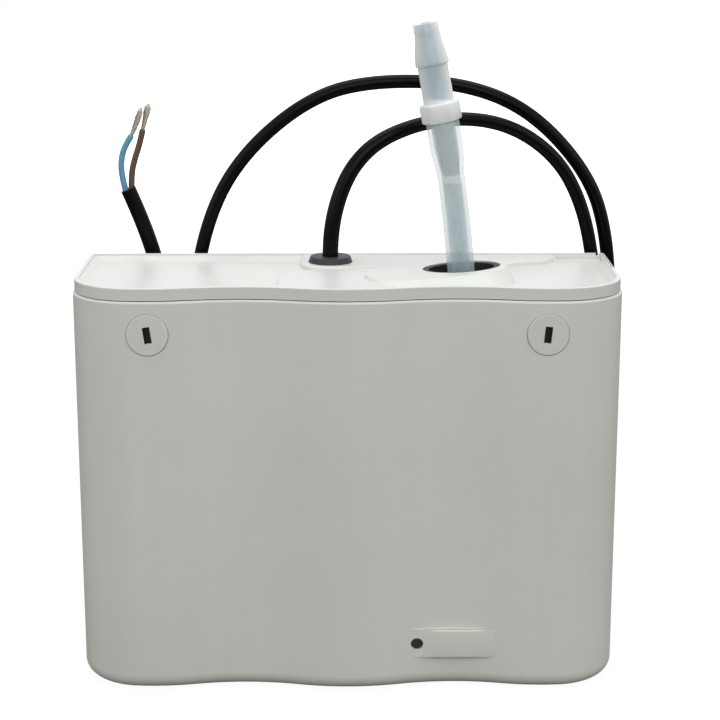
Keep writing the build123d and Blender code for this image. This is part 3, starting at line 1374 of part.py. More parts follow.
def make_fitting():
    """Moulded hose reducer: lower barb, hexagonal collar, neck and upper barb."""
    collar_face = RegularPolygon(FITTING_COLLAR_RADIUS, FITTING_SIDE_COUNT)
    collar = extrude(collar_face, amount=FITTING_COLLAR_HEIGHT)
    neck_top = FITTING_COLLAR_HEIGHT + FITTING_NECK_LENGTH
    upper = Polyline(
        (0, 0),
        (FITTING_NECK_RADIUS, 0),
        (FITTING_NECK_RADIUS, neck_top),
        (FITTING_BARB_RADIUS, neck_top),
        (FITTING_TOP_RADIUS, neck_top + FITTING_CONE_LENGTH),
        (0, neck_top + FITTING_CONE_LENGTH),
        close=True,
    )
    body = collar + revolve(Plane.XZ * make_face(upper), axis=Axis.Z)
    tail = barbs(FITTING_TAIL_STEM, FITTING_TAIL_STEM + 0.4, FITTING_TAIL_RADIUS, FITTING_TAIL_LENGTH, 3)
    body = body + Rot(180, 0, 0) * tail
    bore = rod(FITTING_BORE, -FITTING_TAIL_LENGTH - 1, neck_top + FITTING_CONE_LENGTH + 1)
    return fitting_plane() * (body - bore)


# ================================================================ all nodes
def build_nodes():
    """Every node by name; a node is one solid or a list of equal ones."""
    nodes = {
        "tank": make_tank(),
        "drain_screw": make_drain_screw(),
        "drain_seal": make_drain_seal(),
        "turn_lock_left": make_turn_lock(-1),
        "turn_lock_right": make_turn_lock(1),
        "lock_cam_left": make_lock_cam(-1),
        "lock_cam_right": make_lock_cam(1),
        "lid": make_lid(),
        "lid_skirt": make_skirt(),
        "lid_keeper_left": make_keeper(-1),
        "lid_keeper_right": make_keeper(1),
        "lid_gasket": make_gasket(),
        "hose_collar": make_collar(),
        "cable_grommet": make_grommet(),
        "pump_bracket": make_bracket(),
        "bracket_screws": make_bracket_screws(),
        "pump_yoke": make_yoke(),
        "coil_bobbin": make_bobbin(),
        "coil_winding": make_winding(),
        "pump_barrel": make_barrel(),
        "outlet_nozzle": make_outlet_nozzle(),
        "inlet_nozzle": make_inlet_nozzle(),
        "outlet_valve": Pos(PUMP_X, PUMP_Y, barrel_top_z()) * make_valve(),
        "inlet_valve": Pos(PUMP_X, PUMP_Y, BARREL_LOW_Z) * Rot(180, 0, 0) * make_valve(),
        "pump_piston": make_piston(),
        "return_spring": make_spring(),
        "pump_mounts": make_mounts(),
        "mount_screws": make_mount_screws(),
        "mount_nuts": make_mount_nuts(),
        "drip_shield": make_shield(),
        "suction_strainer": make_strainer(),
        "suction_tube": make_suction_tube(),
        "float_stem": make_stem(),
        "float": make_float(),
        "float_clip": make_float_clip(),
        "float_nut": make_float_nut(),
        "board_cover": make_cover(),
        "cover_screws": make_cover_screws(),
        "circuit_board": make_board(),
        "terminal_block": make_terminal_block(),
        "film_capacitor": make_capacitor(),
        "switch_chip": make_switch_chip(),
        "cord_clamp": make_clamp(),
        "clamp_screws": make_clamp_screws(),
        "cable_tail": make_cable_tail(),
        "inner_neutral_lead": make_inner_lead(-1),
        "inner_live_lead": make_inner_lead(1),
        "coil_leads": make_coil_leads(),
        "float_lead": make_float_leads(),
        "mains_cable": make_mains_cable(),
        "neutral_core": make_core(-1, NEUTRAL_POINTS),
        "live_core": make_core(1, LIVE_POINTS),
        "neutral_strands": make_strands(NEUTRAL_POINTS, NEUTRAL_TIP),
        "live_strands": make_strands(LIVE_POINTS, LIVE_TIP),
        "discharge_hose": make_hose(),
        "hose_reducer": make_fitting(),
    }
    return nodes


def main():
    """Build every node and write one STEP file for each."""
    os.makedirs("parts", exist_ok=True)
    for name, shape in build_nodes().items():
        solid = Compound(children=shape) if isinstance(shape, list) else shape
        export_step(solid, f"parts/{name}.step")
    for label, route in (("mains cable", CABLE_ROUTE), ("discharge hose", hose_route())):
        path = route_path(route)
        print(label, "length", round(path.length, 1), "smallest radius", round(min(route_radii(route)), 1))


main()
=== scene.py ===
"""Looks of the tank condensate pump: finishes, cable, drain hose, adapter and studio."""

import json
import logging
import math
from collections.abc import Callable, Sequence
from dataclasses import dataclass, field
from enum import Enum
from typing import Any

import bpy
from mathutils import Euler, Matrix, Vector


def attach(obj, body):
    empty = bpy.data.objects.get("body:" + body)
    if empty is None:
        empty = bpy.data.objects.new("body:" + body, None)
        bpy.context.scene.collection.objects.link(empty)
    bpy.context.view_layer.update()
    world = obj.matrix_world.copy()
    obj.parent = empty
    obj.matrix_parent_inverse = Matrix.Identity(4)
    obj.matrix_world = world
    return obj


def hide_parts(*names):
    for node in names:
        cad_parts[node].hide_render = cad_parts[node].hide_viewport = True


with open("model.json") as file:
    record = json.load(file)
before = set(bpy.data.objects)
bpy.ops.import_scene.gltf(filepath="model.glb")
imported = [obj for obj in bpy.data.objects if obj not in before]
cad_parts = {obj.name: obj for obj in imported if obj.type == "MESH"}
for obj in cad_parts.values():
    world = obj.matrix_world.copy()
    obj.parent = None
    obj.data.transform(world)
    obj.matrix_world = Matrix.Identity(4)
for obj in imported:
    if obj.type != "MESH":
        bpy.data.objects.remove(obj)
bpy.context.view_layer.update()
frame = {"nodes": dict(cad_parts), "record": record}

LOG = logging.getLogger("condensate_pump")

Point = tuple[float, float, float]
Colour = tuple[float, float, float, float]
Range = tuple[float, float]

MM = 0.001
MIDDLE: Range = (0.3, 0.7)
GRAIN_HEIGHT = 0.08 * MM
PLASTIC_IOR = 1.49
CREASE = math.radians(50)


def srgb(red: float, green: float, blue: float) -> Colour:
    """Linear colour of an sRGB colour given from 0 to 255.

    Args:
        red: Red level.
        green: Green level.
        blue: Blue level.

    Returns:
        The linear colour with an alpha of 1.
    """
    linear = []
    for level in (red, green, blue):
        share = level / 255
        linear.append(share / 12.92 if share <= 0.04045 else ((share + 0.055) / 1.055) ** 2.4)
    return (linear[0], linear[1], linear[2], 1.0)


def shade(colour: Colour, factor: float) -> Colour:
    """A colour made darker or lighter by a factor, with its alpha kept."""
    return (colour[0] * factor, colour[1] * factor, colour[2] * factor, colour[3])


# ---------------------------------------------------------------- shader graph
@dataclass(frozen=True)
class Noise:
    """Scale, detail and roughness of a noise texture."""

    scale: float
    detail: float = 3.0
    rough: float = 0.5


class Wire:
    """A shader socket that can be added, scaled and compared as a number."""

    def __init__(self, graph: "Graph", socket: bpy.types.NodeSocket | None) -> None:
        """Wraps a socket of a graph."""
        self.graph = graph
        self.socket = socket

    def math(self, operation: str, first: Any, second: Any) -> "Wire":
        """Adds a Math node for two operands and returns its result."""
        return self.graph.node("ShaderNodeMath", {"operation": operation}, {0: first, 1: second})

    def __add__(self, other: Any) -> "Wire":
        """Sum with a wire or number."""
        return self.math("ADD", self, other)

    __radd__ = __add__

    def __mul__(self, other: Any) -> "Wire":
        """Product with a wire or number."""
        return self.math("MULTIPLY", self, other)

    __rmul__ = __mul__

    def __sub__(self, other: Any) -> "Wire":
        """Difference from a wire or number."""
        return self.math("SUBTRACT", self, other)

    def __rsub__(self, other: Any) -> "Wire":
        """A wire or number less this one."""
        return self.math("SUBTRACT", other, self)

    def __pow__(self, other: Any) -> "Wire":
        """This one to the power of a wire or number."""
        return self.math("POWER", self, other)

    def __rpow__(self, other: Any) -> "Wire":
        """A wire or number to the power of this one."""
        return self.math("POWER", other, self)

    def beside(self, output: str) -> "Wire":
        """Another output of the node that this wire comes from."""
        return Wire(self.graph, self.socket.node.outputs[output])

    def larger(self, other: Any) -> "Wire":
        """The larger of this and another wire or number."""
        return self.math("MAXIMUM", self, other)

    def ramp(self, low: float, high: float, bottom: float = 0.0, top: float = 1.0) -> "Wire":
        """A clamped straight ramp from one range to another."""
        return self.graph.node(
            "ShaderNodeMapRange",
            {"clamp": True},
            {"Value": self, "From Min": low, "From Max": high, "To Min": bottom, "To Max": top},
        )

    def around(self, value: float, spread: Range, band: Range = MIDDLE) -> "Wire":
        """A ramp from a little below a value to a little above it."""
        return self.ramp(*band, value + spread[0], value + spread[1])


class Graph:
    """Node tree of a material or world, written as Python expressions."""

    def __init__(self, owner: bpy.types.Material | bpy.types.World) -> None:
        """Empties the owner's node tree for new nodes.

        Args:
            owner: The material or world that the tree belongs to.
        """
        self.owner = owner
        owner.use_nodes = True
        self.tree = owner.node_tree
        self.tree.nodes.clear()

    @classmethod
    def of_material(cls, name: str) -> "Graph":
        """Graph of a new material with this name."""
        return cls(bpy.data.materials.new(name))

    def node(
        self,
        kind: str,
        settings: dict[str, Any] | None = None,
        values: dict[Any, Any] | None = None,
        output: str | int = 0,
    ) -> Wire:
        """Adds a node, sets it up and links or sets its sockets.

        Args:
            kind: Type of the node.
            settings: Properties of the node, which are set first.
            values: Wires or plain values by socket name or number.
            output: Name or number of the output that is returned.

        Returns:
            The chosen output as a wire.
        """
        made = self.tree.nodes.new(kind)
        for key, value in (settings or {}).items():
            setattr(made, key, value)
        for key, value in (values or {}).items():
            socket = made.inputs[key]
            if isinstance(value, Wire):
                self.tree.links.new(value.socket, socket)
            else:
                socket.default_value = value
        chosen = made.outputs[output] if len(made.outputs) else None
        return Wire(self, chosen)

    def place(self, scale: Point = (1.0, 1.0, 1.0)) -> Wire:
        """Object coordinates, stretched by a factor on each axis."""
        raw = self.node("ShaderNodeTexCoord", output="Object")
        return self.node("ShaderNodeMapping", {}, {"Vector": raw, "Scale": scale})

    def noise(self, vector: Wire, texture: Noise) -> Wire:
        """Noise from 0 to 1 over a coordinate."""
        values = {
            "Vector": vector,
            "Scale": texture.scale,
            "Detail": texture.detail,
            "Roughness": texture.rough,
        }
        return self.node("ShaderNodeTexNoise", {}, values, "Fac")

    def mix(self, factor: Any, first: Any, second: Any) -> Wire:
        """Mix of two colours, whose sockets have numbers because their names repeat."""
        factor_input, first_input, second_input, colour_output = 0, 6, 7, 2
        values = {factor_input: factor, first_input: first, second_input: second}
        return self.node("ShaderNodeMix", {"data_type": "RGBA"}, values, colour_output)

    def bump(self, height: Wire, strength: float, distance: float) -> Wire:
        """Bumped normal from a height."""
        values = {"Height": height, "Strength": strength, "Distance": distance}
        return self.node("ShaderNodeBump", {}, values, "Normal")

    def finish(self, values: dict[str, Any]) -> bpy.types.Material:
        """Closes the graph with one Principled shader and returns the material."""
        shader = self.node("ShaderNodeBsdfPrincipled", {}, values)
        self.node("ShaderNodeOutputMaterial", {}, {"Surface": shader})
        return self.owner


# ---------------------------------------------------------------- finishes
@dataclass(frozen=True)
class Moulded:
    """Satin or matt injection-moulded plastic with a spark-eroded grain."""

    name: str
    colour: Colour
    roughness: float
    grain: float
    drift: float = 0.05
    streak: float = 0.0
    broad: Noise = Noise(18.0)
    fine: Noise = Noise(2600.0, 2.0, 0.6)
    flow: Noise = Noise(90.0)
    flow_stretch: Point = (1.0, 1.0, 0.06)
    flow_range: Range = (0.45, 0.75)
    flow_shade: float = 1.12
    speck: Noise = Noise(420.0, 4.0, 0.65)
    speck_range: Range = (0.66, 0.78)
    speck_share: float = 0.10
    speck_shade: float = 0.72
    speck_relief: float = 0.4
    rough_spread: Range = (-0.04, 0.05)

    def build(self) -> bpy.types.Material:
        """Makes the material.

        Returns:
            The material.
        """
        graph = Graph.of_material(self.name)
        place = graph.place()
        broad = graph.noise(place, self.broad)
        fine = graph.noise(place, self.fine)
        speck = graph.noise(place, self.speck)
        dim = shade(self.colour, 1.0 - self.drift)
        colour = graph.mix(broad.ramp(*MIDDLE), dim, self.colour)
        if self.streak > 0:
            flow = graph.noise(graph.place(self.flow_stretch), self.flow)
            share = flow.ramp(*self.flow_range) * self.streak
            colour = graph.mix(share, colour, shade(self.colour, self.flow_shade))
        dust = speck.ramp(*self.speck_range) * self.speck_share
        colour = graph.mix(dust, colour, shade(self.colour, self.speck_shade))
        rough = broad.around(self.roughness, self.rough_spread)
        normal = graph.bump(fine + speck * self.speck_relief, self.grain, GRAIN_HEIGHT)
        return graph.finish(
            {"Base Color": colour, "Roughness": rough, "Normal": normal, "IOR": PLASTIC_IOR}
        )


@dataclass(frozen=True)
class LockPlastic:
    """Satin plastic of the quarter-turn locks, with painted shade, near black, in the depth of
    their slots.
    """

    name: str
    colour: Colour
    painted_slot_shade: Colour = (0.006, 0.006, 0.005, 1.0)
    centre: Point = (0.064, -0.0307, 0.1219)
    reach: float = 3.0 * MM
    lip: float = 0.25 * MM
    lip_fade: float = 0.3 * MM
    depth: float = 3.2 * MM
    edge: float = 0.05 * MM
    drift: float = 0.05
    grain: float = 0.1
    rough_range: Range = (0.33, 0.42)
    broad: Noise = Noise(30.0)
    fine: Noise = Noise(2600.0, 2.0, 0.6)

    def build(self) -> bpy.types.Material:
        """Makes the material.

        Returns:
            The material.
        """
        graph = Graph.of_material(self.name)
        place = graph.place()
        apart = graph.node("ShaderNodeSeparateXYZ", {}, {"Vector": place}, "X")
        across = apart.math("ABSOLUTE", apart, 0.0) - self.centre[0]
        inward = apart.beside("Y") - self.centre[1]
        upward = apart.beside("Z") - self.centre[2]
        distance = (across * across + upward * upward) ** 0.5
        near = distance.ramp(self.reach, self.reach + self.edge, 1.0, 0.0)
        deep = inward.ramp(self.lip, self.lip + self.lip_fade)
        shallow = inward.ramp(self.depth, self.depth + self.edge, 1.0, 0.0)
        broad = graph.noise(place, self.broad)
        fine = graph.noise(place, self.fine)
        colour = graph.mix(broad.ramp(*MIDDLE), shade(self.colour, 1.0 - self.drift), self.colour)
        # Painted shade: near the lock's centre, past the lip and within the slot's depth, the
        # plastic is painted near black.
        colour = graph.mix(near * deep * shallow, colour, self.painted_slot_shade)
        rough = broad.ramp(*MIDDLE, *self.rough_range)
        normal = graph.bump(fine, self.grain, GRAIN_HEIGHT)
        return graph.finish(
            {"Base Color": colour, "Roughness": rough, "Normal": normal, "IOR": PLASTIC_IOR}
        )


@dataclass(frozen=True)
class Rubber:
    """Dark rubber or flexible PVC with a faint bloom."""

    name: str
    colour: Colour
    roughness: float
    bloom: float = 0.25
    grain: float = 0.15
    sheen: float = 0.3
    broad: Noise = Noise(60.0, 4.0, 0.6)
    fine: Noise = Noise(1800.0, 3.0, 0.6)
    bloom_range: Range = (0.45, 0.8)
    bloom_gain: float = 2.2
    bloom_lift: Point = (0.01, 0.01, 0.011)
    rough_spread: Range = (-0.06, 0.1)
    rough_range: Range = (0.3, 0.8)
    relief: float = 0.06 * MM

    def build(self) -> bpy.types.Material:
        """Makes the material.

        Returns:
            The material.
        """
        graph = Graph.of_material(self.name)
        place = graph.place()
        broad = graph.noise(place, self.broad)
        fine = graph.noise(place, self.fine)
        bloom = broad.ramp(*self.bloom_range) * self.bloom
        pale = [level * self.bloom_gain + lift for level, lift in zip(self.colour, self.bloom_lift)]
        colour = graph.mix(bloom, self.colour, (*pale, 1.0))
        rough = broad.around(self.roughness, self.rough_spread, self.rough_range)
        normal = graph.bump(fine, self.grain, self.relief)
        return graph.finish(
            {
                "Base Color": colour,
                "Roughness": rough,
                "Normal": normal,
                "Specular IOR Level": self.sheen,
            }
        )


@dataclass(frozen=True)
class Metal:
    """Plated, drawn or ground metal with fine lines along one axis."""

    name: str
    colour: Colour
    roughness: float
    lines: Point = (1.0, 1.0, 12.0)
    stain: float = 0.15
    line: Noise = Noise(900.0, 3.0, 0.6)
    broad: Noise = Noise(140.0, 4.0, 0.6)
    stain_range: Range = (0.35, 0.75)
    stain_shade: float = 0.6
    rough_spread: Range = (-0.08, 0.12)
    grain: float = 0.12
    relief: float = 0.05 * MM

    def build(self) -> bpy.types.Material:
        """Makes the material.

        Returns:
            The material.
        """
        graph = Graph.of_material(self.name)
        lines = graph.noise(graph.place(self.lines), self.line)
        broad = graph.noise(graph.place(), self.broad)
        share = broad.ramp(*self.stain_range) * self.stain
        colour = graph.mix(share, self.colour, shade(self.colour, self.stain_shade))
        rough = lines.around(self.roughness, self.rough_spread)
        normal = graph.bump(lines, self.grain, self.relief)
        return graph.finish(
            {"Base Color": colour, "Roughness": rough, "Metallic": 1.0, "Normal": normal}
        )


@dataclass(frozen=True)
class Winding:
    """Enamelled copper wire, wound in close turns along Z, with painted shade in the grooves
    between turns.
    """

    name: str
    colour: Colour
    pitch: float = 0.55 * MM
    wave_length: float = 0.314
    waver: float = 0.4
    waver_scale: float = 2.0
    painted_groove_shade: float = 0.45
    broad: Noise = Noise(220.0)
    stain_range: Range = (0.4, 0.8)
    stain: float = 0.3
    stain_shade: float = 0.7
    grain: float = 0.6
    relief: float = 0.2 * MM
    roughness: float = 0.3
    metallic: float = 0.6

    def build(self) -> bpy.types.Material:
        """Makes the material.

        Returns:
            The material.
        """
        graph = Graph.of_material(self.name)
        place = graph.place()
        turns = graph.node(
            "ShaderNodeTexWave",
            {"wave_type": "BANDS", "bands_direction": "Z", "wave_profile": "SIN"},
            {
                "Vector": place,
                "Scale": self.wave_length / self.pitch,
                "Distortion": self.waver,
                "Detail Scale": self.waver_scale,
            },
            "Fac",
        )
        broad = graph.noise(place, self.broad)
        # Painted shade: the colour is darker in the grooves between turns.
        colour = graph.mix(turns, shade(self.colour, self.painted_groove_shade), self.colour)
        share = broad.ramp(*self.stain_range) * self.stain
        colour = graph.mix(share, colour, shade(self.colour, self.stain_shade))
        normal = graph.bump(turns, self.grain, self.relief)
        return graph.finish(
            {
                "Base Color": colour,
                "Roughness": self.roughness,
                "Metallic": self.metallic,
                "Normal": normal,
            }
        )


@dataclass(frozen=True)
class Board:
    """Circuit board with solder mask over printed tracks."""

    name: str
    colour: Colour
    track_scale: float = 160.0
    track_width: float = 0.03
    track_offset: float = 0.35
    track_shade: float = 2.1
    weave: Noise = Noise(1500.0, 2.0)
    weave_relief: float = 0.2
    grain: float = 0.3
    relief: float = 0.1 * MM
    roughness: float = 0.3

    def build(self) -> bpy.types.Material:
        """Makes the material.

        Returns:
            The material.
        """
        graph = Graph.of_material(self.name)
        place = graph.place()
        upright = {"Vector": place, "Rotation": (math.pi / 2, 0, 0)}
        tracks = graph.node(
            "ShaderNodeTexBrick",
            {"offset": self.track_offset},
            {
                "Vector": graph.node("ShaderNodeMapping", {}, upright),
                "Scale": self.track_scale,
                "Mortar Size": self.track_width,
            },
            "Fac",
        )
        colour = graph.mix(tracks, self.colour, shade(self.colour, self.track_shade))
        weave = graph.noise(place, self.weave)
        normal = graph.bump(tracks + weave * self.weave_relief, self.grain, self.relief)
        return graph.finish({"Base Color": colour, "Roughness": self.roughness, "Normal": normal})


@dataclass(frozen=True)
class Milky:
    """Translucent moulded or flexible plastic, with painted light: paler where it is seen edge on,
    and a painted bluish shade where it is seen face on, left out between two heights.
    """

    name: str
    colour: Colour
    face_on_shade_colour: Colour
    alpha: float
    roughness: float
    cloud: float
    unshaded_from: float
    unshaded_to: float
    haze: Noise = Noise(260.0, 4.0, 0.6)
    haze_stretch: Point = (1.0, 1.0, 0.35)
    haze_range: Range = (0.42, 0.75)
    haze_shade: float = 1.2
    speck: Noise = Noise(900.0, 3.0, 0.7)
    speck_range: Range = (0.68, 0.78)
    speck_share: float = 0.25
    speck_shade: float = 0.7
    speck_relief: float = 0.3
    facing_blend: float = 0.5
    face_on_shade_range: Range = (0.04, 0.5)
    face_on_shade_share: float = 0.9
    fade: float = 1.0 * MM
    alpha_spread: Range = (-0.03, 0.03)
    rough_spread: Range = (-0.05, 0.08)
    grain: float = 0.12
    relief: float = 0.2 * MM
    ior: float = 1.42

    def build(self) -> bpy.types.Material:
        """Makes the material.

        Returns:
            The material.
        """
        graph = Graph.of_material(self.name)
        haze = graph.noise(graph.place(self.haze_stretch), self.haze)
        speck = graph.noise(graph.place(), self.speck)
        # Painted light: by viewing angle, a bluish painted shade face on and the paler colour edge
        # on; the shade is left out between two heights.
        facing = graph.node("ShaderNodeLayerWeight", {}, {"Blend": self.facing_blend}, "Facing")
        height = graph.node("ShaderNodeSeparateXYZ", {}, {"Vector": graph.place()}, "Z")
        below = height.ramp(self.unshaded_from - self.fade, self.unshaded_from, 1.0, 0.0)
        shaded_heights = below.larger(height.ramp(self.unshaded_to, self.unshaded_to + self.fade))
        core = facing.ramp(*self.face_on_shade_range, self.face_on_shade_share, 0.0) * shaded_heights
        colour = graph.mix(core, self.colour, self.face_on_shade_colour)
        share = haze.ramp(*self.haze_range) * self.cloud
        colour = graph.mix(share, colour, shade(self.face_on_shade_colour, self.haze_shade))
        share = speck.ramp(*self.speck_range) * self.speck_share
        colour = graph.mix(share, colour, shade(self.face_on_shade_colour, self.speck_shade))
        normal = graph.bump(haze + speck * self.speck_relief, self.grain, self.relief)
        return graph.finish(
            {
                "Base Color": colour,
                "Roughness": haze.around(self.roughness, self.rough_spread),
                "Alpha": haze.around(self.alpha, self.alpha_spread),
                "Normal": normal,
                "IOR": self.ior,
            }
        )


PURE_WHITE = (1.0, 1.0, 1.0, 1.0)
PAPER = (0.18, 0.18, 0.18, 1.0)
WHITE = srgb(222, 221, 216)
FINISHES = [
    Moulded("case_white", WHITE, 0.40, 0.10, streak=0.18),
    Moulded("lid_white", srgb(221, 222, 219), 0.36, 0.08, drift=0.03),
    LockPlastic("lock_white", srgb(221, 221, 217)),
    Moulded("cam_plastic", srgb(206, 204, 196), 0.5, 0.14),
    Metal("zinc_steel", srgb(188, 190, 192), 0.3),
    Metal("blackened_steel", srgb(92, 92, 90), 0.36, stain=0.5),
    Rubber("seal_rubber", srgb(40, 40, 42), 0.6),
    Rubber("grommet_rubber", srgb(45, 47, 51), 0.5, 0.25),
    Rubber("collar_rubber", srgb(34, 34, 36), 0.5, 0.25),
    Moulded("bracket_plastic", srgb(128, 131, 134), 0.5, 0.18),
    Metal("yoke_steel", srgb(176, 180, 184), 0.34, (12.0, 1.0, 1.0), 0.25),
    Moulded("bobbin_plastic", srgb(48, 48, 50), 0.5, 0.2),
    Winding("winding_copper", srgb(190, 108, 62)),
    Metal("barrel_brass", srgb(206, 176, 112), 0.26, (1.0, 1.0, 14.0), 0.2),
    Moulded("nozzle_plastic", srgb(222, 220, 208), 0.45, 0.1),
    Rubber("valve_rubber", srgb(168, 62, 46), 0.55),
    Metal("piston_steel", srgb(196, 197, 200), 0.22, (12.0, 12.0, 1.0), 0.1),
    Metal("spring_steel", srgb(190, 190, 192), 0.25),
    Rubber("mount_rubber", srgb(46, 46, 48), 0.65),
    Moulded("shield_plastic", srgb(214, 216, 214), 0.45, 0.12),
    Moulded("strainer_plastic", srgb(62, 96, 136), 0.5, 0.15),
    Rubber("tube_silicone", srgb(206, 210, 210), 0.4, 0.1),
    Rubber("float_foam", srgb(58, 58, 60), 0.8, 0.5, 0.5),
    Moulded("stem_plastic", srgb(220, 220, 214), 0.4, 0.1),
    Moulded("cover_plastic", srgb(58, 59, 62), 0.5, 0.25),
    Board("board_green", srgb(34, 96, 58)),
    Moulded("terminal_plastic", srgb(54, 128, 92), 0.42, 0.12),
    Moulded("capacitor_yellow", srgb(214, 172, 62), 0.35, 0.08),
    Moulded("chip_black", srgb(34, 34, 36), 0.45, 0.2),
    Moulded("clamp_plastic", srgb(52, 52, 54), 0.5, 0.2),
    Rubber("sheath_black", srgb(8, 8, 9), 0.27, 0.04, 0.05, 0.08),
    Moulded("core_blue", srgb(98, 158, 190), 0.38, 0.05, drift=0.1),
    Moulded("core_brown", srgb(92, 70, 54), 0.4, 0.05, drift=0.12),
    Metal("tinned_copper", srgb(176, 166, 156), 0.38, (4.0, 4.0, 1.0), 0.5),
    # Clear finishes: the second colour is the painted face-on shade, and the last two numbers are
    # the heights between which it is left out.
    Milky("hose_clear", srgb(218, 230, 233), srgb(172, 193, 201), 0.43, 0.28, 0.30, 0.168, 0.200),
    Milky("reducer_clear", srgb(247, 250, 250), srgb(186, 204, 213), 0.93, 0.3, 0.25, 0.150, 0.194),
]


class Wardrobe:
    """The part's finishes, made once each and handed out by material slot."""

    def __init__(self, finishes: Sequence[Any]) -> None:
        """Makes every finish.

        Args:
            finishes: Finish definitions, each with a name and a build method.
        """
        self.materials = {finish.name: finish.build() for finish in finishes}

    def dress_node(self, node: str, name: str) -> None:
        """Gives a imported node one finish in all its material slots."""
        piece = frame["nodes"][node]
        if not piece.material_slots:
            piece.data.materials.append(self.materials[name])
        for place in piece.material_slots:
            place.material = self.materials[name]

    def dress_piece(self, piece: bpy.types.Object, name: str) -> None:
        """Gives a new piece its finish."""
        piece.data.materials.append(self.materials[name])


# ---------------------------------------------------------------- mesh tools
SPLINE_ORDER = 3
SPLINE_STEPS = 16
ROUND_STEPS = 7


def link_mesh(name: str, points: list[Vector], faces: list[list[int]]) -> bpy.types.Object:
    """Makes a smooth-shaded mesh object from points and faces.

    Args:
        name: Name of the piece.
        points: Corners in metres.
        faces: Corner numbers of each face.

    Returns:
        The new object.
    """
    mesh = bpy.data.meshes.new(name)
    mesh.from_pydata([tuple(point) for point in points], [], faces)
    mesh.validate()
    for polygon in mesh.polygons:
        polygon.use_smooth = True
    piece = bpy.data.objects.new(name, mesh)
    bpy.context.collection.objects.link(piece)
    return piece


def spline_curve(
    name: str, route: Sequence[Point], radius: float = 0.0, ends: int = 0, slim: float = 1.0
) -> bpy.types.Object:
    """Makes a curve object of one smooth NURBS spline.

    Args:
        name: Name of the curve.
        route: Control points in metres.
        radius: Radius of its round section, or 0 for a bare line.
        ends: How many control points at each end keep the full radius.
        slim: Share of the radius that is left between them.

    Returns:
        The curve object.
    """
    curve = bpy.data.curves.new(name, "CURVE")
    curve.dimensions = "3D"
    curve.resolution_u = SPLINE_STEPS
    spline = curve.splines.new("NURBS")
    spline.points.add(len(route) - 1)
    for number, (place, point) in enumerate(zip(spline.points, route)):
        place.co = (*point, 1.0)
        place.radius = slim if ends <= number < len(route) - ends else 1.0
    spline.order_u = SPLINE_ORDER
    spline.use_endpoint_u = True
    if radius > 0:
        curve.bevel_depth = radius
        curve.bevel_resolution = ROUND_STEPS
        curve.use_fill_caps = True
    piece = bpy.data.objects.new(name, curve)
    bpy.context.collection.objects.link(piece)
    return piece


def spline_points(route: Sequence[Point]) -> list[Vector]:
    """Points along the smooth line of a route.

    Args:
        route: Control points in metres.

    Returns:
        Points read from the bare spline, in order.
    """
    line = spline_curve("route_line", route)
    bpy.context.view_layer.update()
    mesh = bpy.data.meshes.new_from_object(line)
    points = [vertex.co.copy() for vertex in mesh.vertices]
    curve = line.data
    bpy.data.objects.remove(line)
    bpy.data.curves.remove(curve)
    bpy.data.meshes.remove(mesh)
    return points


def resample(points: Sequence[Vector], count: int) -> list[Vector]:
    """Evenly spaced points along a line.

    Args:
        points: The line's points.
        count: How many points to make.

    Returns:
        The new points, the ends included.
    """
    lengths = [0.0]
    for first, second in zip(points, points[1:]):
        lengths.append(lengths[-1] + (second - first).length)
    made = []
    index = 0
    for step in range(count):
        target = lengths[-1] * step / (count - 1)
        while index < len(points) - 2 and lengths[index + 1] < target:
            index += 1
        span = lengths[index + 1] - lengths[index]
        share = (target - lengths[index]) / span if span > 0 else 0.0
        made.append(points[index].lerp(points[index + 1], share))
    return made


def line_frames(points: Sequence[Vector]) -> list[tuple[Vector, Vector, Vector]]:
    """Direction, side and up at each point of a line, turned as little as possible.

    Args:
        points: The line's points.

    Returns:
        One (direction, side, up) for each point.
    """
    frames = []
    side = Vector((0.0, 1.0, 0.0))
    for index in range(len(points)):
        ahead = points[min(index + 1, len(points) - 1)]
        behind = points[max(index - 1, 0)]
        along = (ahead - behind).normalized()
        side = (side - along * side.dot(along)).normalized()
        frames.append((along, side, along.cross(side)))
    return frames


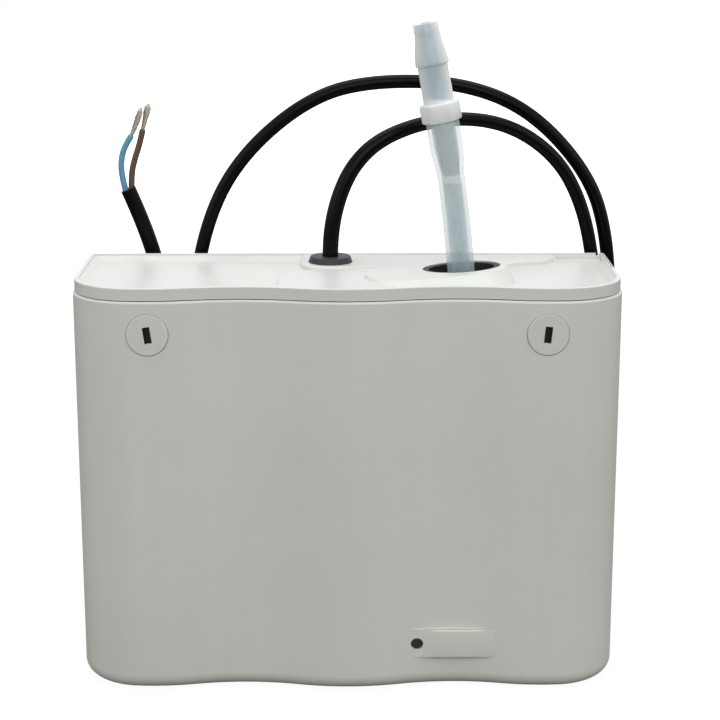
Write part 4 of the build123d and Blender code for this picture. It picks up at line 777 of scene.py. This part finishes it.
def tube_mesh(
    points: Sequence[Vector],
    sides: int,
    radius_at: Callable[[float], float],
    bore_at: Callable[[float], float] | None = None,
) -> tuple[list[Vector], list[list[int]]]:
    """Closed tube along a line, solid or with a bore.

    Args:
        points: The line's points.
        sides: Number of sides.
        radius_at: Outer radius at a share of the length.
        bore_at: Inner radius at a share of the length, if it is hollow.

    Returns:
        Corners and faces.
    """
    frames = line_frames(points)
    last = len(points) - 1
    corners: list[Vector] = []
    faces: list[list[int]] = []

    def add_rings(measure: Callable[[float], float]) -> int:
        """Adds a ring of corners at each point.

        Args:
            measure: Radius at a share of the length.

        Returns:
            Number of the first corner.
        """
        first = len(corners)
        for index, (point, (_, side, up)) in enumerate(zip(points, frames)):
            radius = measure(index / last)
            for step in range(sides):
                angle = math.tau * step / sides
                across = side * (math.cos(angle) * radius)
                corners.append(point + across + up * (math.sin(angle) * radius))
        return first

    def ring(first: int, row: int) -> list[int]:
        """Corner numbers of one ring."""
        return [first + row * sides + step for step in range(sides)]

    def skin(lower: list[int], upper: list[int], inward: bool) -> None:
        """Joins two rings with quads.

        Args:
            lower: Corner numbers of the first ring.
            upper: Corner numbers of the second ring.
            inward: Whether the quads face the line, as a bore's do.
        """
        for step in range(sides):
            after = (step + 1) % sides
            quad = [lower[step], lower[after], upper[after], upper[step]]
            faces.append(quad[::-1] if inward else quad)

    outer = add_rings(radius_at)
    for row in range(last):
        skin(ring(outer, row), ring(outer, row + 1), False)
    if bore_at is None:
        faces.append(ring(outer, 0)[::-1])
        faces.append(ring(outer, last))
    else:
        inner = add_rings(bore_at)
        for row in range(last):
            skin(ring(inner, row), ring(inner, row + 1), True)
        skin(ring(inner, 0), ring(outer, 0), False)
        skin(ring(outer, last), ring(inner, last), False)
    return corners, faces


def split_creases(piece: bpy.types.Object) -> None:
    """Keeps the crisp edges of a smooth-shaded piece."""
    piece.modifiers.new("edges", "EDGE_SPLIT").split_angle = CREASE


def smooth_step(low: float, high: float, value: float) -> float:
    """Smooth rise from 0 to 1 between two values."""
    share = min(max((value - low) / (high - low), 0.0), 1.0)
    return share * share * (3 - 2 * share)


# ---------------------------------------------------------------- mains cable
class Core(Enum):
    """The two cores of the supply cable."""

    NEUTRAL = "neutral"
    LIVE = "live"


@dataclass
class CoreEnd:
    """One stripped core at the cable's free end: insulation and twisted wires."""

    core: Core
    finish: str
    route: list[Point]
    tip: list[Point]
    radius: float = 1.08 * MM
    stations: int = 60
    sides: int = 24
    cut_from: float = 0.975
    cut_draw: float = 0.16
    wire_radius: float = 0.30 * MM
    wire_count: int = 8
    wire_stations: int = 48
    wire_sides: int = 8
    turns: float = 1.6
    spread: float = 0.62 * MM
    root_spread: float = 0.72
    root_run: float = 0.25
    nesting: float = 0.4
    belly: float = 0.3 * MM
    belly_at: float = 0.62
    belly_width: float = 0.28
    tip_from: float = 0.86
    tip_draw: float = 0.55
    wobble: float = 0.08
    wobble_turn: float = 7.0
    wobble_shift: float = 2.1

    def insulation(self, wardrobe: Wardrobe) -> bpy.types.Object:
        """Makes the insulation as a tube with an eased cut end.

        Args:
            wardrobe: The part's finishes.

        Returns:
            The new piece.
        """
        points = resample(spline_points(self.route), self.stations)

        def radius_at(share: float) -> float:
            """Radius, drawn in a little at the cut end."""
            return self.radius * (1.0 - self.cut_draw * smooth_step(self.cut_from, 1.0, share))

        name = f"{self.core.value}_insulation"
        piece = link_mesh(name, *tube_mesh(points, self.sides, radius_at))
        wardrobe.dress_piece(piece, self.finish)
        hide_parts(f"{self.core.value}_core")
        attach(piece, "pump_module")
        return piece

    def bundle_radius(self, share: float) -> float:
        """Distance of the outer wires from the middle one at a share of the length.

        Args:
            share: Share of the bare length, from the insulation to the tip.

        Returns:
            The distance in metres.
        """
        bulge = math.exp(-(((share - self.belly_at) / self.belly_width) ** 2))
        opened = smooth_step(0.0, self.root_run, share)
        reach = self.spread * (self.root_spread + (1.0 - self.root_spread) * opened)
        reach += self.belly * bulge
        reach *= 1.0 - self.tip_draw * smooth_step(self.tip_from, 1.0, share)
        return reach - self.wire_radius * self.nesting

    def wire_line(self, middle: Sequence[Vector], number: int) -> list[Vector]:
        """Points along one wire, twisted round the middle one.

        Args:
            middle: Points along the middle wire.
            number: Number of the wire.

        Returns:
            The wire's points.
        """
        line = []
        for index, (point, (_, side, up)) in enumerate(zip(middle, line_frames(middle))):
            share = index / (len(middle) - 1)
            angle = math.tau * (number / self.wire_count + self.turns * share)
            phase = self.wobble_turn * share + self.wobble_shift * number
            reach = self.bundle_radius(share) * (1.0 + self.wobble * math.sin(phase))
            line.append(point + (side * math.cos(angle) + up * math.sin(angle)) * reach)
        return line

    def wires(self, wardrobe: Wardrobe) -> bpy.types.Object:
        """Makes the bare wires, twisted round one in the middle.

        Args:
            wardrobe: The part's finishes.

        Returns:
            The new piece.
        """
        middle = resample(spline_points(self.tip), self.wire_stations)
        lines = [self.wire_line(middle, number) for number in range(self.wire_count)]
        corners: list[Vector] = []
        faces: list[list[int]] = []
        for line in [*lines, middle]:
            made, sheet = tube_mesh(line, self.wire_sides, lambda _: self.wire_radius)
            base = len(corners)
            corners.extend(made)
            faces.extend([[base + corner for corner in face] for face in sheet])
        piece = link_mesh(f"{self.core.value}_wires", corners, faces)
        wardrobe.dress_piece(piece, "tinned_copper")
        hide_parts(f"{self.core.value}_strands")
        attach(piece, "pump_module")
        return piece


@dataclass
class SupplyCable:
    """Two-core cable, from the grommet round behind the tank to its stripped end."""

    radius: float = 2.7 * MM
    full_ends: int = 3
    slim: float = 0.88
    length: float = 1.097
    exit: Point = (-0.0059, 0.0167, 0.1387)
    route: list[Point] = field(
        default_factory=lambda: [
            (-0.0059, 0.0167, 0.1387),
            (-0.0059, 0.0167, 0.1532),
            (0.0047, 0.0199, 0.1752),
            (0.0281, 0.0254, 0.1845),
            (0.0527, 0.0310, 0.1832),
            (0.0720, 0.0355, 0.1710),
            (0.0825, 0.0380, 0.1528),
            (0.0875, 0.0385, 0.1280),
            (0.0900, 0.0382, 0.0980),
            (0.0885, 0.0376, 0.0660),
            (0.0800, 0.0372, 0.0370),
            (0.0610, 0.0370, 0.0140),
            (0.0340, 0.0373, 0.0032),
            (0.0020, 0.0378, 0.0029),
            (-0.0270, 0.0375, 0.0075),
            (-0.0470, 0.0372, 0.0260),
            (-0.0565, 0.0370, 0.0550),
            (-0.0575, 0.0375, 0.0870),
            (-0.0555, 0.0382, 0.1180),
            (-0.0484, 0.0390, 0.1508),
            (-0.0349, 0.0396, 0.1724),
            (-0.0122, 0.0400, 0.1905),
            (0.0097, 0.0403, 0.1959),
            (0.0405, 0.0408, 0.1949),
            (0.0644, 0.0415, 0.1850),
            (0.0847, 0.0425, 0.1629),
            (0.0920, 0.0434, 0.1415),
            (0.0940, 0.0440, 0.1120),
            (0.0935, 0.0444, 0.0800),
            (0.0880, 0.0446, 0.0490),
            (0.0720, 0.0447, 0.0220),
            (0.0480, 0.0448, 0.0055),
            (0.0180, 0.0450, 0.0029),
            (-0.0140, 0.0451, 0.0031),
            (-0.0380, 0.0450, 0.0130),
            (-0.0520, 0.0448, 0.0360),
            (-0.0570, 0.0444, 0.0640),
            (-0.0600, 0.0436, 0.0920),
            (-0.0655, 0.0423, 0.1220),
            (-0.0710, 0.0409, 0.1440),
            (-0.0769, 0.0400, 0.1581),
        ]
    )
    cores: list[CoreEnd] = field(
        default_factory=lambda: [
            CoreEnd(
                Core.NEUTRAL,
                "core_blue",
                [
                    (-0.0776, 0.0398, 0.1570),
                    (-0.0792, 0.0398, 0.1635),
                    (-0.0788, 0.0397, 0.1700),
                    (-0.0769, 0.0396, 0.1743),
                    (-0.0751, 0.0395, 0.1770),
                ],
                [(-0.0753, 0.0395, 0.1767), (-0.0731, 0.0394, 0.1812), (-0.0715, 0.0393, 0.1865)],
            ),
            CoreEnd(
                Core.LIVE,
                "core_brown",
                [
                    (-0.0757, 0.0401, 0.1570),
                    (-0.0757, 0.0401, 0.1632),
                    (-0.0742, 0.0401, 0.1690),
                    (-0.0724, 0.0402, 0.1740),
                    (-0.0712, 0.0402, 0.1790),
                ],
                [(-0.0713, 0.0402, 0.1787), (-0.0702, 0.0402, 0.1825), (-0.0690, 0.0402, 0.1878)],
                belly=0.42 * MM,
                belly_at=0.72,
            ),
        ]
    )

    def build(self, wardrobe: Wardrobe) -> list[bpy.types.Object]:
        """Args:
            wardrobe: The part's finishes.

        Returns:
            The new pieces.
        """
        sheath = spline_curve("supply_cable", self.route, self.radius, self.full_ends, self.slim)
        wardrobe.dress_piece(sheath, "sheath_black")
        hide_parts("mains_cable")
        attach(sheath, "pump_module")
        ends = []
        for core in self.cores:
            ends.append(core.insulation(wardrobe))
            ends.append(core.wires(wardrobe))
        2 * self.radius
        return [sheath, *ends]


# ---------------------------------------------------------------- drain hose and adapter
@dataclass
class HoseAdapter:
    """Moulded hose adapter: barbed tail, six-sided collar, neck and tapered barb."""

    foot: Point = (0.03065, -0.006, 0.187)
    tilt: float = math.radians(10.5)
    sides: int = 48
    bore: float = 2.0 * MM
    corner_share: float = 0.97

    def profile(self) -> list[tuple[float, float, float]]:
        """Outline up the axis, in millimetres: height, radius and how six-sided it is there.

        Returns:
            (height, radius, share of the hexagon) from the tail to the top, in metres.
        """
        tail = [(-17.6, 2.2, 0), (-17.3, 2.55, 0), (-16.6, 2.7, 0), (-12.4, 3.2, 0)]
        tail += [(-12.2, 3.25, 0), (-12.0, 2.95, 0), (-6.6, 3.3, 0), (-6.3, 3.35, 0)]
        tail += [(-6.1, 3.0, 0), (-1.2, 3.35, 0), (-1.0, 3.38, 0), (-0.8, 3.1, 0), (-0.02, 3.1, 0)]
        collar = [(0.0, 6.1, 1), (0.25, 6.55, 1), (0.6, 6.75, 1)]
        collar += [(5.6, 6.8, 1), (6.05, 6.65, 1), (6.3, 6.2, 1)]
        neck = [(6.32, 5.1, 0), (6.6, 5.0, 0), (12.0, 4.95, 0), (18.2, 4.9, 0), (18.45, 4.92, 0)]
        barb = [(18.55, 5.35, 0), (18.85, 5.5, 0), (19.3, 5.48, 0), (21.5, 5.2, 0), (24.5, 4.7, 0)]
        barb += [(27.4, 4.15, 0), (28.3, 4.02, 0), (31.6, 3.93, 0), (31.9, 3.75, 0)]
        rows = tail + collar + neck + barb
        return [(height * MM, radius * MM, share) for height, radius, share in rows]

    def build(self, wardrobe: Wardrobe) -> bpy.types.Object:
        """Makes the adapter as one turned and faceted body with a bore.

        Args:
            wardrobe: The part's finishes.

        Returns:
            The new piece.
        """
        rows = self.profile()
        bored = (rows[-1], rows[len(rows) // 2], rows[0])
        inner = [(height, self.bore, 0.0) for height, _, _ in bored]
        turn = Euler((0.0, -self.tilt, 0.0)).to_matrix()
        foot = Vector(self.foot)
        corners = []
        for height, radius, share in rows + inner:
            for step in range(self.sides):
                angle = math.tau * step / self.sides
                corners.append(foot + turn @ self.section(angle, radius, share, height))
        faces = []
        count = len(rows) + len(inner)
        for row in range(count):
            lower = row * self.sides
            upper = (row + 1) % count * self.sides
            for step in range(self.sides):
                after = (step + 1) % self.sides
                faces.append([lower + step, lower + after, upper + after, upper + step])
        piece = link_mesh("hose_adapter", corners, faces)
        split_creases(piece)
        wardrobe.dress_piece(piece, "reducer_clear")
        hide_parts("hose_reducer")
        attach(piece, "pump_module")
        return piece

    def section(self, angle: float, radius: float, share: float, height: float) -> Vector:
        """Corner of the section, between a circle and a rounded hexagon.

        Args:
            angle: Angle round the axis.
            radius: Radius of the circle.
            share: Share of the hexagon, from 0 to 1.
            height: Height up the axis.

        Returns:
            The corner, with the axis along Z.
        """
        flat = math.cos(math.pi / 6) / math.cos((angle % (math.pi / 3)) - math.pi / 6)
        reach = radius * (1.0 + (min(flat, self.corner_share) - 1.0) * share)
        return Vector((math.cos(angle) * reach, math.sin(angle) * reach, height))


@dataclass
class DrainHose:
    """Flexible drain hose, pushed over the pump's outlet and the adapter's tail."""

    radius: float = 4.5 * MM
    bore: float = 3.0 * MM
    flare: float = 0.95 * MM
    bore_flare: float = 0.9
    tail_grip: Range = (0.775, 0.90)
    outlet_grip: Range = (0.12, 0.2)
    outlet_flare: float = 0.4
    cut_run: float = 0.008
    cut_draw: float = 0.04
    stations: int = 90
    sides: int = 40
    length: float = 0.0826
    route: list[Point] = field(
        default_factory=lambda: [
            (0.0390, -0.0050, 0.1050),
            (0.0390, -0.0050, 0.1220),
            (0.0362, -0.0054, 0.1500),
            (0.0336, -0.0060, 0.1710),
            (0.03065, -0.0060, 0.1870),
        ]
    )

    def swell(self, share: float) -> float:
        """How far the hose is stretched at a share of its length."""
        over_tail = smooth_step(*self.tail_grip, share)
        over_outlet = 1.0 - smooth_step(*self.outlet_grip, share)
        return max(over_tail, self.outlet_flare * over_outlet)

    def middle(self) -> list[Vector]:
        """Points along the middle of the hose."""
        return resample(spline_points(self.route), self.stations)

    def build(self, wardrobe: Wardrobe) -> bpy.types.Object:
        """Makes the hose as a hollow tube along its route.

        Args:
            wardrobe: The part's finishes.

        Returns:
            The new piece.
        """

        def radius_at(share: float) -> float:
            """Outer radius, eased at both cut ends."""
            start = smooth_step(0.0, self.cut_run, share)
            ease = self.cut_draw * (1.0 - start * smooth_step(0.0, self.cut_run, 1.0 - share))
            return (self.radius + self.flare * self.swell(share)) * (1.0 - ease)

        def bore_at(share: float) -> float:
            """Inner radius."""
            return self.bore + self.flare * self.bore_flare * self.swell(share)

        made = tube_mesh(self.middle(), self.sides, radius_at, bore_at)
        piece = link_mesh("drain_hose", *made)
        wardrobe.dress_piece(piece, "hose_clear")
        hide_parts("discharge_hose")
        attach(piece, "pump_module")
        return piece

    def declare(self) -> None:
        2 * self.radius
        [tuple(point) for point in self.middle()]


# ---------------------------------------------------------------- drain pad
@dataclass
class DrainPad:
    """Raised face of the drain pad, which runs out to nothing at both ends."""

    left: float = 25.2 * MM
    right: float = 49.2 * MM
    low: float = 10.9 * MM
    high: float = 20.8 * MM
    root: float = -28.3 * MM
    flush: float = -28.62 * MM
    proud: float = 0.75 * MM
    edge_round: float = 0.6 * MM
    least_round: float = 0.02 * MM
    left_run: float = 0.22
    right_run: float = 0.35
    stations: int = 36
    arc_steps: int = 5

    def rise(self, share: float) -> float:
        """How far the face has risen, from 0 to 1, at a share of its width."""
        from_left = smooth_step(0.0, self.left_run, share)
        return from_left * smooth_step(0.0, self.right_run, 1.0 - share)

    def section(self, x: float, rise: float) -> list[Vector]:
        """Corners of the upright section at an X, from the low root to the high root.

        Args:
            x: Place of the section across the tank.
            rise: How far the face has risen there, from 0 to 1.

        Returns:
            The section's corners.
        """
        face = self.flush - self.proud * rise
        radius = self.least_round + self.edge_round * rise
        corners = [Vector((x, self.root, self.low))]
        for centre, start in ((self.low + radius, math.pi), (self.high - radius, math.pi * 1.5)):
            for step in range(self.arc_steps + 1):
                angle = start + math.pi / 2 * step / self.arc_steps
                depth = face + radius + radius * math.sin(angle)
                corners.append(Vector((x, depth, centre + radius * math.cos(angle))))
        corners.append(Vector((x, self.root, self.high)))
        return corners

    def build(self, wardrobe: Wardrobe) -> bpy.types.Object:
        """Makes the pad's face on the tank.

        Args:
            wardrobe: The part's finishes.

        Returns:
            The new piece.
        """
        corners: list[Vector] = []
        for number in range(self.stations + 1):
            share = number / self.stations
            x = self.left + (self.right - self.left) * share
            corners.extend(self.section(x, self.rise(share)))
        count = len(corners) // (self.stations + 1)
        faces = [list(range(count))[::-1]]
        for number in range(self.stations):
            row = number * count
            for step in range(count):
                after = (step + 1) % count
                faces.append([row + step, row + after, row + after + count, row + step + count])
        faces.append(list(range(self.stations * count, (self.stations + 1) * count)))
        piece = link_mesh("drain_pad_face", corners, faces)
        split_creases(piece)
        wardrobe.dress_piece(piece, "case_white")
        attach(piece, "tank_body")
        return piece


# ---------------------------------------------------------------- studio
COOL: Point = (0.95, 1.0, 0.99)
WARM: Point = (1.0, 0.985, 0.94)


@dataclass(frozen=True)
class Softbox:
    """Soft rectangular lamp."""

    name: str
    place: Point
    width: float
    height: float
    power: float
    tint: Point

    def build(self, aim: Point) -> None:
        """Makes the lamp and turns it to a point.

        Args:
            aim: The point that the lamp looks at.
        """
        data = bpy.data.lights.new(self.name, "AREA")
        data.shape = "RECTANGLE"
        data.size = self.width
        data.size_y = self.height
        data.energy = self.power
        data.color = self.tint
        lamp = bpy.data.objects.new(self.name, data)
        lamp.location = self.place
        towards = Vector(aim) - Vector(self.place)
        lamp.rotation_euler = towards.to_track_quat("-Z", "Y").to_euler()
        bpy.context.collection.objects.link(lamp)


@dataclass
class Studio:
    """Camera, lamps, world and pale floor."""

    camera_place: Point = (0.0, -0.6065, 0.2574)
    camera_pitch: float = math.radians(14.0)
    camera_yaw: float = math.radians(0.386)
    camera_near: float = 0.01
    lens: float = 92.85
    sensor: float = 36.0
    ambient: float = 0.40
    backdrop: float = 1.0
    floor_size: float = 6.0
    floor_share: float = 0.55
    floor_glow: float = 1.70
    floor_near: float = 0.45
    floor_far: float = 1.2
    fibre: Noise = Noise(30.0)
    fibre_shade: float = 1.04
    aim: Point = (0.0, 0.0, 0.08)
    lamps: tuple[Softbox, ...] = (
        Softbox("top_softbox", (0.0, 0.15, 1.3), 1.4, 1.0, 10.0, COOL),
        Softbox("front_softbox", (0.1, -1.7, 1.0), 1.3, 0.9, 9.3, WARM),
        Softbox("right_softbox", (1.4, -0.6, 0.8), 0.8, 0.8, 4.6, WARM),
        Softbox("left_softbox", (-1.4, -0.8, 0.8), 0.8, 0.8, 4.2, WARM),
    )

    def add_camera(self) -> None:
        """Makes the camera and sets it as the scene's."""
        data = bpy.data.cameras.new("main_camera")
        data.lens = self.lens
        data.sensor_width = self.sensor
        data.clip_start = self.camera_near
        camera = bpy.data.objects.new("main_camera", data)
        camera.location = self.camera_place
        camera.rotation_euler = (math.pi / 2 - self.camera_pitch, 0.0, -self.camera_yaw)
        bpy.context.collection.objects.link(camera)
        bpy.context.scene.camera = camera

    def add_world(self) -> None:
        """Even grey light, with white where a camera, glossy or clear ray looks out."""
        world = bpy.data.worlds.new("studio")
        bpy.context.scene.world = world
        graph = Graph(world)
        seen = graph.node("ShaderNodeLightPath", output="Is Camera Ray")
        mirrored = graph.node("ShaderNodeLightPath", output="Is Glossy Ray")
        through = graph.node("ShaderNodeLightPath", output="Is Transmission Ray")
        dim, bright = (
            graph.node("ShaderNodeBackground", {}, {"Color": PURE_WHITE, "Strength": strength})
            for strength in (self.ambient, self.backdrop)
        )
        clear = seen.larger(mirrored).larger(through)
        both = graph.node("ShaderNodeMixShader", {}, {0: clear, 1: dim, 2: bright})
        graph.node("ShaderNodeOutputWorld", {}, {"Surface": both})

    def add_floor(self) -> None:
        """Plain pale floor that keeps the part's shadow."""
        half = self.floor_size / 2
        turns = ((-1, -1), (1, -1), (1, 1), (-1, 1))
        corners = [Vector((x * half, y * half, 0.0)) for x, y in turns]
        floor = link_mesh("studio_floor", corners, [[0, 1, 2, 3]])
        graph = Graph.of_material("floor_paper")
        path = graph.node("ShaderNodeLightPath", output="Is Camera Ray")
        fibre = graph.noise(graph.place(), self.fibre)
        tone = graph.mix(fibre, PAPER, shade(PAPER, self.fibre_shade))
        paper = graph.node("ShaderNodeBsdfDiffuse", {}, {"Color": tone})
        white = {"Color": PURE_WHITE, "Strength": self.floor_glow}
        glow = graph.node("ShaderNodeEmission", {}, white)
        length = {"operation": "LENGTH"}
        distance = graph.node("ShaderNodeVectorMath", length, {0: graph.place()}, "Value")
        share = distance.ramp(self.floor_near, self.floor_far, self.floor_share, 1.0)
        both = graph.node("ShaderNodeMixShader", {}, {0: path * share, 1: paper, 2: glow})
        graph.node("ShaderNodeOutputMaterial", {}, {"Surface": both})
        floor.data.materials.append(graph.owner)

    def build(self) -> None:
        """Sets up the whole studio."""
        bpy.context.scene.view_settings.view_transform = "Standard"
        self.add_camera()
        self.add_world()
        self.add_floor()
        for lamp in self.lamps:
            lamp.build(self.aim)


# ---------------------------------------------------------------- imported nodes
class PackedNodes:
    """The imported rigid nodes, each dressed in the finish of its material slot."""

    ease_width: float = 0.4 * MM
    ease_steps: int = 3
    ease_angle: float = math.radians(60)

    def __init__(self, wardrobe: Wardrobe) -> None:
        """Keeps the finishes.

        Args:
            wardrobe: The part's finishes.
        """
        self.wardrobe = wardrobe
        self.slots = {part["node"]: part["material_slot"] for part in frame["record"]["subparts"]}
        self.slots["drain_screw"] = "blackened_steel"

    def build(self) -> None:
        """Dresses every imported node."""
        for node in frame["nodes"]:
            self.wardrobe.dress_node(node, self.slots[node])
            if self.slots[node] == "lock_white":
                self.ease_edges(frame["nodes"][node])
            LOG.info("dressed %s in %s", node, self.slots[node])

    def ease_edges(self, piece: bpy.types.Object) -> None:
        """Rounds a node's sharp edges a little, so that they catch the light.

        Args:
            piece: The node's object.
        """
        edges = piece.modifiers.new("edges", "BEVEL")
        edges.width = self.ease_width
        edges.segments = self.ease_steps
        edges.limit_method = "ANGLE"
        edges.angle_limit = self.ease_angle


def main() -> None:
    """Builds the studio, the finishes and every piece, in order."""
    logging.basicConfig(level=logging.INFO, format="%(message)s")
    Studio().build()
    wardrobe = Wardrobe(FINISHES)
    PackedNodes(wardrobe).build()
    for piece in SupplyCable().build(wardrobe):
        LOG.info("made %s", piece.name)
    adapter = HoseAdapter().build(wardrobe)
    hose = DrainHose()
    tube = hose.build(wardrobe)
    hose.declare()
    LOG.info("made %s and %s", tube.name, adapter.name)
    pad = DrainPad().build(wardrobe)
    LOG.info("made %s", pad.name)


if __name__ == "__main__":
    main()
